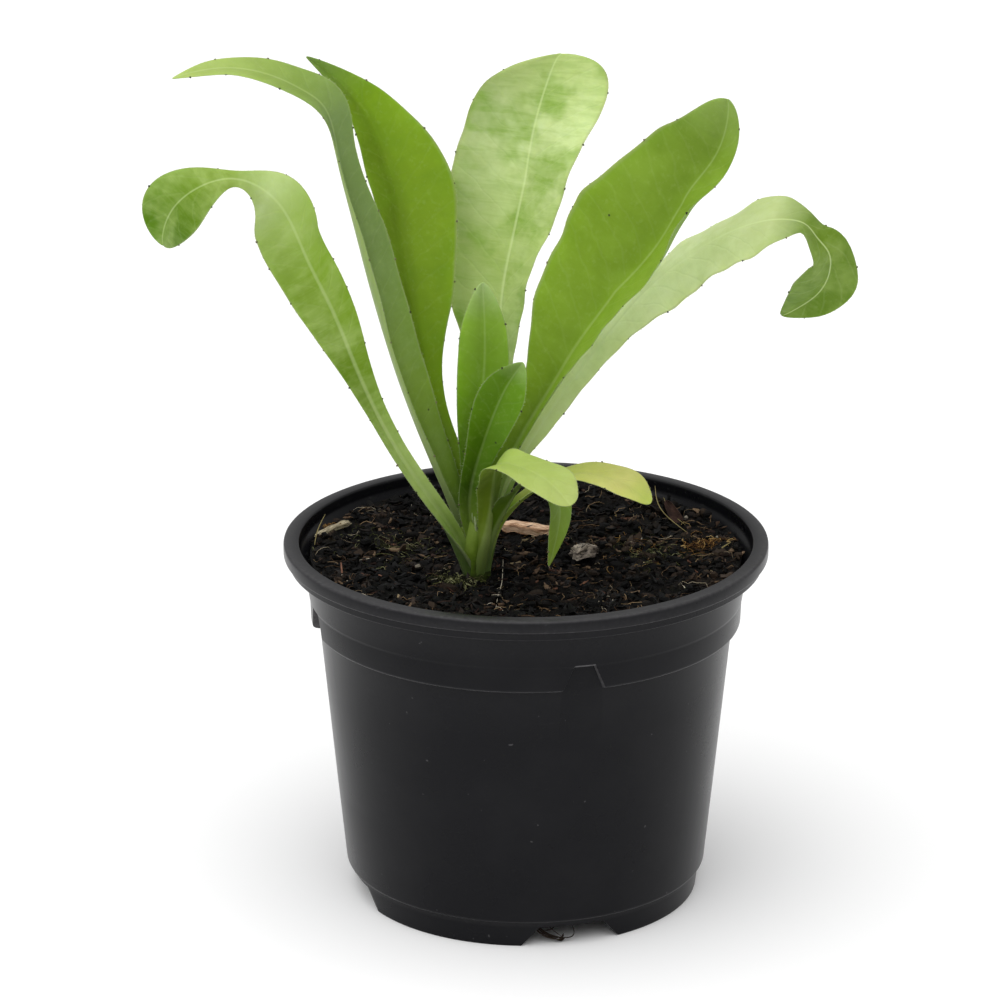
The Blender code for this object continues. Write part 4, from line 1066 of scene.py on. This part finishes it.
def leaf_material(name, look):
    """Soft green leaf: its colour runs from stalk to tip, with painted light and shade across it, mottled
    patches that are partly painted sheen, fine streaks across, a pale midrib, a different underside with
    painted shade towards its foot, a thin dull margin and a few specks of peat."""
    material, tree, shader = new_material(name, srgb(*look["run"][1][1:]), 0.5)
    where = coordinate(tree)
    veins = use_group(tree, VEINS, 6.5)
    # Painted light and shade across the blade: a side turned from the light, and a side where another leaf's
    # shadow falls, is made darker.
    light_and_shade_across = zip((0.05, 0.38, 0.62), look["across"])
    across = colour_run(veins["Across"], [(share, *(shade * 255,) * 3) for share, shade in light_and_shade_across])
    colour = multiply(colour_run(veins["Along"], look["run"]), across)
    broad = ramp(noise(where, 0.075, 3, 0.6), 0.44, 0.66)
    fine = noise(where, 0.7, 4, 0.6)
    stalk = look.get("stalk", 0.12)
    blade = ramp(veins["Along"], stalk, stalk + 0.2)
    streaks = times(ramp(veins["Streaks"], 0.38, 0.66), blade)
    # The patches are real mottling, and on most leaves their paler colour also stands for painted sheen.
    blotch_and_sheen = srgb(*look["blotch_and_sheen"])
    colour = mix(times(plus(times(broad, 0.65), times(streaks, 0.35)), look["blotch_and_sheen_share"]), colour, blotch_and_sheen)
    mottle = ramp(noise(where, 0.16, 4, 0.65), 0.36, 0.64)
    colour = mix(mottle, multiply(colour, srgb(246, 247, 238)), colour)
    colour = mix(times(ramp(fine, 0.5, 0.8), 0.25), colour, mix(0.3, colour, srgb(206, 220, 150)))
    side_veins = times(veins["Side veins"], times(blade, 0.02 + 0.08 * look["midrib"]))
    colour = mix(side_veins, colour, srgb(198, 214, 150))
    strong = times(plus(times(blade, 0.6), 0.4), look["midrib"])
    colour = mix(times(veins["Midrib"], strong), colour, srgb(206, 222, 160))
    lower = mix(times(broad, 0.3), srgb(*look["under"]), blotch_and_sheen)
    for share in (side_veins, times(veins["Midrib"], 0.35)):
        lower = mix(share, lower, srgb(176, 196, 128))
    lower = mix(times(streaks, 0.06), lower, blotch_and_sheen)
    # The underside is made darker towards the foot: painted shade where it goes into the crown.
    lower = multiply(lower, colour_run(veins["Along"], ((0.03, 146, 154, 136), (0.2, 255, 255, 255))))
    colour = mix(veins["Upper"], lower, colour)
    colour = mix(times(veins["Margin"], 0.45), colour, srgb(132, 138, 112))
    colour = mix(times(use_group(tree, SPECKS, 9.0)["Specks"], 0.85), colour, srgb(46, 44, 30))
    grooves = times(veins["Side veins"], blade, 0.5)
    relief = plus(minus(times(veins["Streaks"], 0.8, blade), grooves), times(fine, 0.4))
    fill(shader, {
        "Base Color": colour, "Roughness": plus(0.4, times(fine, 0.2)), "Specular IOR Level": 0.15,
        "Subsurface Weight": 0.3, "Subsurface Radius": (0.8, 1.0, 0.2), "Subsurface Scale": 1.0 * MM,
        "Sheen Weight": 0.02, "Sheen Roughness": 0.5, "Normal": bump(relief, 0.2, 0.4)})
    return material


def margin_points(leaf, t, side):
    """Points on the margin at shares t of the length, on the side -1 or 1 of each, with the directions
    outwards, along and square to the blade there."""
    surface = leaf_surface(leaf, t, np.array([-1.0, 1.0]))[0]
    _, across, up, _, fold = leaf_frames(leaf, t)
    point = np.where(side[:, None] > 0, surface[:, 1], surface[:, 0])
    out = side[:, None] * np.cos(fold)[:, None] * across + np.sin(fold)[:, None] * up
    along = np.cross(up, across)
    return point, out, along, np.cross(along, out)


def make_hairs(name, leaf, material, slot, seed):
    """Short stiff hairs along the margin: each a cone on three base points that points outwards and leans."""
    rng = np.random.default_rng(seed)
    count = int(HAIRS_PER_MM * leaf_length(leaf))
    t, side = rng.uniform(0.1, 0.985, count), rng.choice([-1.0, 1.0], count)
    point, out, along, square = margin_points(leaf, t, side)
    lean = rng.normal(size=(count, 2)) * 0.45
    aim = unit(out + lean[:, :1] * along + lean[:, 1:] * square)
    length = rng.uniform(0.25, 0.75, count)[:, None]
    root = point - 0.08 * out
    ring = [root + 0.035 * (math.cos(a) * along + math.sin(a) * square) for a in (0, 2.094, 4.189)]
    points = np.stack(ring + [root + aim * length], axis=1)
    faces = [(0, 1, 3), (1, 2, 3), (2, 0, 3), (0, 2, 1)]
    flip = np.einsum("ni,ni->n", np.cross(along, square), out) < 0
    points[flip] = points[flip][:, [0, 2, 1, 3]]
    tone = np.repeat(rng.uniform(0, 1, count), 4)
    new_piece(name + "_hairs", *repeat_shape(points, faces), material, slot, angle=180, tone=tone)


def make_glands(material):
    """The dark point in every few millimetres of a margin, as a small rough lump."""
    rng = np.random.default_rng(17)
    shape, faces = blob_shape()
    lumps = []
    for leaf in LEAVES.values():
        count = int(leaf_length(leaf) / GLAND_SPACING)
        t = np.clip((np.arange(count) + rng.uniform(0.1, 0.9, count)) / count, 0.2, 0.98)
        point = margin_points(leaf, t, np.where(np.arange(count) % 2, 1.0, -1.0))[0]
        size = rng.uniform(0.16, 0.34, (count, 1, 1))
        lumps.append(point[:, None] + shape[None] * size * rng.uniform(0.7, 1.3, (count, len(shape), 1)))
    points = np.concatenate(lumps)
    tone = np.repeat(rng.uniform(0, 1, len(points)), len(shape))
    new_piece("margin_points", *repeat_shape(points, faces), material, "leaf", tone=tone)


def make_leaves():
    """All eleven leaves."""
    slots = {part["node"]: part["material_slot"] for part in frame["record"]["subparts"]}
    hair = tone_material("margin_hair", ((126, 150, 84), (168, 186, 134), (196, 208, 170)), 0.6)
    for name, leaf in LEAVES.items():
        large = max(row[3] for row in leaf["rows"]) > 9.5
        steps, columns = (130, 30) if large else (80, 22)
        make_leaf(name, leaf, leaf_material(name + "_skin", LEAF_COLOURS[name]), slots[name], steps, columns)
        make_hairs(name, leaf, hair, slots[name], len(name))
    make_glands(tone_material("margin_gland", ((44, 46, 30), (84, 88, 58), (120, 112, 86)), 0.7))


# Crown

ROOT_DEPTH = 34.0
STEM_HEIGHT = 21.0


def make_crown():
    """The short fleshy stem: a column that leans with the stalks it carries, ribbed where they leave it, and
    its root below the soil."""
    heights = np.linspace(-ROOT_DEPTH, STEM_HEIGHT, 70)
    radius = np.interp(heights, (-ROOT_DEPTH, -4, -1, 2, 7, 10, 13, 17, 20, STEM_HEIGHT),
                       (1.0, 3.0, 3.7, 3.5, 3.9, 4.1, 3.8, 2.6, 1.2, 0.4))
    h, a = np.meshgrid(heights, circle(56), indexing="ij")
    above = np.clip(h / 14, 0, 1.5)
    ribs = 1 + 0.07 * above * np.cos(5 * a + 0.05 * h + 1.0)
    r = radius[:, None] * ribs * (1 + 0.14 * above * np.cos(2 * a))
    lean = -0.9 * np.clip(h / 7, 0, 1) + 0.6 * np.clip(h / 7 - 1.4, 0, 1)
    x, y = CROWN[0] + lean + r * np.cos(a), CROWN[1] - 0.4 * above + r * np.sin(a)
    ends = CROWN + ((0, 0, -ROOT_DEPTH - 0.4), (0.4, -0.6, STEM_HEIGHT + 0.4))
    points, faces = tube(pack(x, y, CROWN[2] + h), ends)
    material = tone_material("stem_skin", ((44, 54, 18), (72, 94, 24), (104, 130, 38), (124, 148, 60)), 0.5,
                             grain=0.4, depth=0.15)
    # The tone darkens towards the soil, and across the column it is painted light on the left side and
    # painted shade on the right.
    side = CROWN[0] - 0.5 - points[:, 0]
    tone = np.clip((points[:, 2] - CROWN[2]) / 14 + 0.05 + 0.16 * np.clip(side, -2.5, 2.5), 0, 1)
    new_piece("crown_stem", points, faces, material, "stem", ["crown"], tone=tone)
    scale = tone_material("stem_hair", ((112, 132, 78), (156, 172, 122), (190, 200, 162)), 0.6)
    strands_piece("stem_hairs", (
        (((-13.2, -13.4, 104.5), (-13.5, -13.9, 108.5), (-13.4, -13.2, 112.5)), 0.42),
        (((-13.9, -13.2, 107), (-14.3, -13.8, 109), (-14.0, -13.4, 112)), 0.16),
        (((-12.9, -13.6, 108), (-12.7, -14.2, 110), (-12.9, -13.6, 113.5)), 0.14)), scale, "stem", 0.5)


# Chips, bark and root

def splinter(name, node, centre, size, bearing, tilt, rough, material, slot, seed):
    """A split piece of wood: a superellipse section along its length, its ends broken, its sides scored along
    the grain and roughened by noise."""
    rng = np.random.default_rng(seed)
    length, width, thick = size
    u, a = np.meshgrid(np.linspace(-0.5, 0.5, 36), circle(48), indexing="ij")
    squareness = 0.35
    y = np.sign(np.cos(a)) * np.abs(np.cos(a)) ** squareness * width / 2
    z = np.sign(np.sin(a)) * np.abs(np.sin(a)) ** squareness * thick / 2
    grain = rng.normal(size=48) * 0.06
    y, z = y * (1 + grain[None]), z * (1 + 2.5 * grain[None])
    ends = 0.07 * length * value_noise(y * 3 + 7, z * 3, 1.0, seed) + 0.12 * y
    x = u * length + ends * np.abs(2 * u) ** 4 * np.sign(u) + 0.12 * y
    taper = 1 - 0.3 * np.abs(2 * u) ** 6
    x = x + rough * value_noise(y + 3, z, 1.5, seed + 5)
    y = y * taper + rough * value_noise(x, z + 2, 1.8, seed + 6)
    z = z * taper + (0.3 + rough) * value_noise(x, y, 2.4, seed + 4)
    b, e = math.radians(bearing), math.radians(tilt)
    x, z = x * math.cos(e) - z * math.sin(e), x * math.sin(e) + z * math.cos(e)
    x, y = x * math.cos(b) - y * math.sin(b), x * math.sin(b) + y * math.cos(b)
    points = pack(x, y, z) + centre
    uv = np.concatenate([pack(u, a / (2 * np.pi)).reshape(-1, 2), [(-0.5, 0), (0.5, 0)]])
    new_piece(name, *tube(points, points[[0, -1]].mean(axis=1)), material, slot, [node], uv, angle=50)


def wood_material(name, dark, light, roughness, knot):
    """Split wood: long fine grain along the piece, with darker streaks and one small knot."""
    material, tree, shader = new_material(name, light, roughness)
    uv = coordinate(tree, "UV")
    grain = noise(mapped(uv, Scale=(1.2, 14.0, 1.0)), 3.0, 5.0, 0.7, unit_size=1)
    colour = mix(ramp(grain, 0.38, 0.6), dark, light)
    colour = mix(times(ramp(noise(coordinate(tree), 0.35, 3), 0.52, 0.7), 0.5), colour, dark)
    flat = mapped(mapped(uv, Location=(-0.12, -0.27, 0.0)), Scale=(1.0, 1.0, 0.0))
    away = add(tree, "ShaderNodeVectorMath", {0: flat}, operation="LENGTH").outputs["Value"]
    colour = mix(times(minus(1.0, ramp(away, 0.02, 0.045)), knot), colour, srgb(48, 26, 16))
    fill(shader, {"Base Color": colour, "Normal": bump(grain, 0.3, 0.9)})
    return material


def make_chips():
    """The three loose pieces that stand out on the soil."""
    tan = wood_material("tan_wood", srgb(170, 124, 92), srgb(240, 206, 174), 0.7, 1.0)
    pale = wood_material("pale_wood", srgb(84, 74, 56), srgb(186, 174, 144), 0.8, 0.0)
    bark = wood_material("grey_bark", srgb(40, 34, 30), srgb(196, 182, 166), 0.75, 0.0)
    for name, node, size, bearing, tilt, rough, shift, material, slot in (
            ("tan_chip", "wood_chip_tan", (14.0, 4.8, 1.8), -28, 2, 0.1, (0, 0, 0), tan, "wood"),
            ("pale_chip", "wood_chip_pale", (12.5, 2.7, 0.9), 48, 4, 0.1, (-1.3, -1.2, -0.3), pale, "wood"),
            ("bark_lump", "bark_piece", (6.8, 4.8, 3.0), 35, -10, 0.8, (0, -0.6, -0.5), bark, "bark")):
        low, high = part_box(node)
        centre = np.array((low + high) / 2) / MM - POT_AXIS + shift
        splinter(name, node, centre, size, bearing, tilt, rough, material, slot, len(name))


def strands_piece(name, paths, material, slot, tone, replaces=(), sides=6, on_soil=False):
    """One piece of a few strands, each given by its points and radius. On the soil, the heights are those
    over the soil's own surface."""
    parts = []
    for path, radius in paths:
        line = curve_path(path, 30 if on_soil else 18)
        if on_soil:
            line[:, 2] += soil_height(line[:, 0], line[:, 1])
        parts.append((*strand(line, radius, sides), tone))
    points, faces, tones = merge(parts)
    new_piece(name, points, faces, material, slot, replaces, angle=180, tone=tones)


def make_roots():
    """The dark root with its side roots under the pot, and straws and thin roots on the soil."""
    dark = tone_material("dark_root", ((14, 11, 9), (44, 34, 26), (70, 56, 42)), 0.8)
    straw = tone_material("straw", ((86, 78, 46), (134, 122, 80), (176, 162, 116)), 0.6)
    white = tone_material("white_root", ((150, 138, 118), (206, 196, 176), (232, 226, 212)), 0.6)
    twig = tone_material("red_twig", ((92, 58, 44), (140, 100, 82), (186, 152, 132)), 0.6)
    main = ((6.0, -40.5, 5.4), (3.2, -43.0, 4.2), (5.0, -44.0, 2.6), (9.0, -44.2, 1.4), (12.6, -43.6, 1.9),
            (12.2, -42.6, 4.6))
    strands_piece("drain_root_tuft", (
        (main[:4], 0.42), (main[2:], 0.16), (((2.6, -44.5, 3.8), (5, -45, 2.2), (8.6, -45, 1.2)), 0.3),
        (((5, -43, 5.4), (7.6, -44, 3.0), (9.5, -44, 1.5)), 0.14),
        (((3.4, -44, 3.6), (6.5, -43.4, 3.4), (8.4, -43, 5.2)), 0.13),
        (((8.4, -45, 1.0), (9.6, -44.6, 1.8), (9.9, -44.3, 2.5)), 0.28),
        (((8.2, -44.3, 0.9), (9.6, -44.2, 0.8), (10.2, -44.0, 1.3)), 0.34)),
        dark, "root", 0.3, ["drain_root"])
    strands_piece("straws", (
        (((36, 43, 98.6), (36.2, 37.5, 97.0), (38.5, 26, 95.8), (44.0, 14, 94.9)), 0.15),
        (((38.2, 37, 97.2), (39.5, 30, 96.0), (43.5, 20, 95.2)), 0.12),
        (((-54.5, 19.5, 98.4), (-56.3, 11, 96.6), (-56.8, 3, 95.4)), 0.14),
        (((50, -3, 94.6), (52.5, 1, 95.1), (55.2, 4.5, 95.6)), 0.2)), straw, "wood", 0.5)
    strands_piece("thin_roots", (
        (((-6.1, -2, 0.1), (-6.3, -12, 0.3), (-6.6, -20, 0.2), (-7.4, -30, 0.3), (-8.0, -41, 0.1)), 0.09),
        (((-6.4, -14, 0.2), (-7.6, -17, 0.3), (-8.0, -20, 0.1)), 0.05),
        (((-9.3, -29.5, 0.1), (-7.6, -30, 0.4), (-6.5, -29.4, 0.1)), 0.06),
        (((-7.8, -38, 0.2), (-9.4, -37.4, 0.3), (-10.4, -38.4, 0.1)), 0.07),
        (((-7.9, -40, 0.2), (-6.8, -41.4, 0.3), (-6.2, -43, 0.0)), 0.05),
        (((21, -31, 0.1), (22.5, -34, 0.5), (22, -38, 0.1)), 0.09),
        (((39.6, -23, 0.1), (41.2, -28, 0.5), (42.6, -33, 0.1)), 0.13),
        (((-44.5, -4, 0.0), (-40, -3, 0.4), (-36, -3.5, 0.0)), 0.1)),
        white, "root", 0.5, sides=5, on_soil=True)
    strands_piece("red_twigs", (
        (((-46.6, -27.5, 0.2), (-43.5, -23, 0.7), (-40.6, -19, 0.3)), 0.14),
        (((-40.6, -19, 0.3), (-38.8, -17, 0.5), (-37.8, -17.4, 0.3)), 0.2),
        (((-48.5, -21, 0.0), (-48.7, -20.4, 2.0), (-48.9, -20, 4.4)), 0.26)), twig, "root", 0.5, on_soil=True)
    make_flakes("pale_slivers", 31, 0, (2.6, 5.0), tone_material(
        "pale_sliver", ((120, 104, 78), (190, 174, 140), (222, 208, 176)), 0.6), (0.2, 0.34), "wood", 0.2, (
            (0.2, 12.5), (2.6, 10.8), (-2.6, -3.5), (-33.5, -35), (31.5, -5), (49.5, -20), (-20.5, -48),
            (-26, 30), (-14, 42), (18.5, -40.5)))
    standing_flake()


def standing_flake():
    """A reddish bark flake that stands leaning at the right: an oval outline bowed across its width."""
    u, v = np.meshgrid(np.linspace(0, 1, 14), np.linspace(-1, 1, 9), indexing="ij")
    half = 1.7 * np.sqrt(np.clip(1 - (1.9 * u - 0.85) ** 4 / 1.3, 0.02, 1)) * (1 - 0.35 * u)
    out, bow = v * half, 0.35 * (1 - v ** 2) + 0.15 * value_noise(u * 9, v * 3, 1.0, 6)
    face = pack(42.0 - 3.6 * u + out * 0.86, 23.0 + 4.0 * u + out * 0.3 + bow, 94.7 + 5.0 * u + out * 0.4)
    back = face + np.array([0.1, 0.45, -0.1])
    loop = np.concatenate([face, back[:, ::-1]], axis=1)
    points, faces = tube(loop, loop[[0, -1]].mean(axis=1))
    material = tone_material("standing_bark", ((30, 20, 17), (62, 44, 38), (100, 78, 68)), 0.8, 0.9, 0.3)
    tone = np.clip(0.4 + 0.3 * value_noise(points[:, 0], points[:, 2], 1.4, 3), 0, 1)
    new_piece("standing_flake", points, faces, material, "bark", angle=50, tone=tone)


# Stage

SKY_STRENGTH = 0.45
SUN_FROM = (-0.16, -0.35, 1.0)
SUN_STRENGTH = 2.7
SUN_SPREAD = 90.0
CAMERA_DISTANCE = 1225.0
CAMERA_ELEVATION = 18.92
CAMERA_TARGET = (-6.95, 0.0, 109.16)
CAMERA_FOCAL = 4.582        # focal length as a share of the picture's width


def make_stage():
    """A pale floor, an even surround and a wide soft light above."""
    bpy.ops.mesh.primitive_circle_add(vertices=96, radius=9.0, fill_type="NGON", location=(0, 0, 0))
    floor = bpy.context.object
    floor.name = "floor"
    material, _, shader = new_material("pale_floor", srgb(250, 250, 250), 0.9)
    shader.inputs["Specular IOR Level"].default_value = 0.1
    floor.data.materials.append(material)
    world = bpy.data.worlds.new("surround")
    bpy.context.scene.world = world
    world.use_nodes = True
    background = world.node_tree.nodes["Background"]
    fill(background, {"Color": (1.0, 1.0, 1.0, 1.0), "Strength": SKY_STRENGTH})
    light = bpy.data.lights.new("top", "SUN")
    light.angle, light.energy = math.radians(SUN_SPREAD), SUN_STRENGTH
    lamp = new_object("top", light)
    lamp.location = SUN_FROM
    lamp.rotation_euler = (-lamp.location).to_track_quat("-Z", "Y").to_euler()
    bpy.context.scene.view_settings.view_transform = "Standard"


def make_camera():
    """The camera of the photo, fitted to the pot's rim, shoulder and foot."""
    camera = bpy.data.cameras.new("camera")
    camera.sensor_width = 36.0
    camera.lens = CAMERA_FOCAL * camera.sensor_width
    camera.clip_end = 50
    holder = new_object("camera", camera)
    e = math.radians(CAMERA_ELEVATION)
    back = Vector((0.0, -math.cos(e), math.sin(e)))
    holder.location = Vector(place(CAMERA_TARGET)) + back * CAMERA_DISTANCE * MM
    holder.rotation_euler = (-back).to_track_quat("-Z", "Y").to_euler()
    bpy.context.scene.camera = holder


make_stage()
make_camera()
make_pot()
make_soil()
make_litter()
make_crown()
make_leaves()
make_chips()
make_roots()
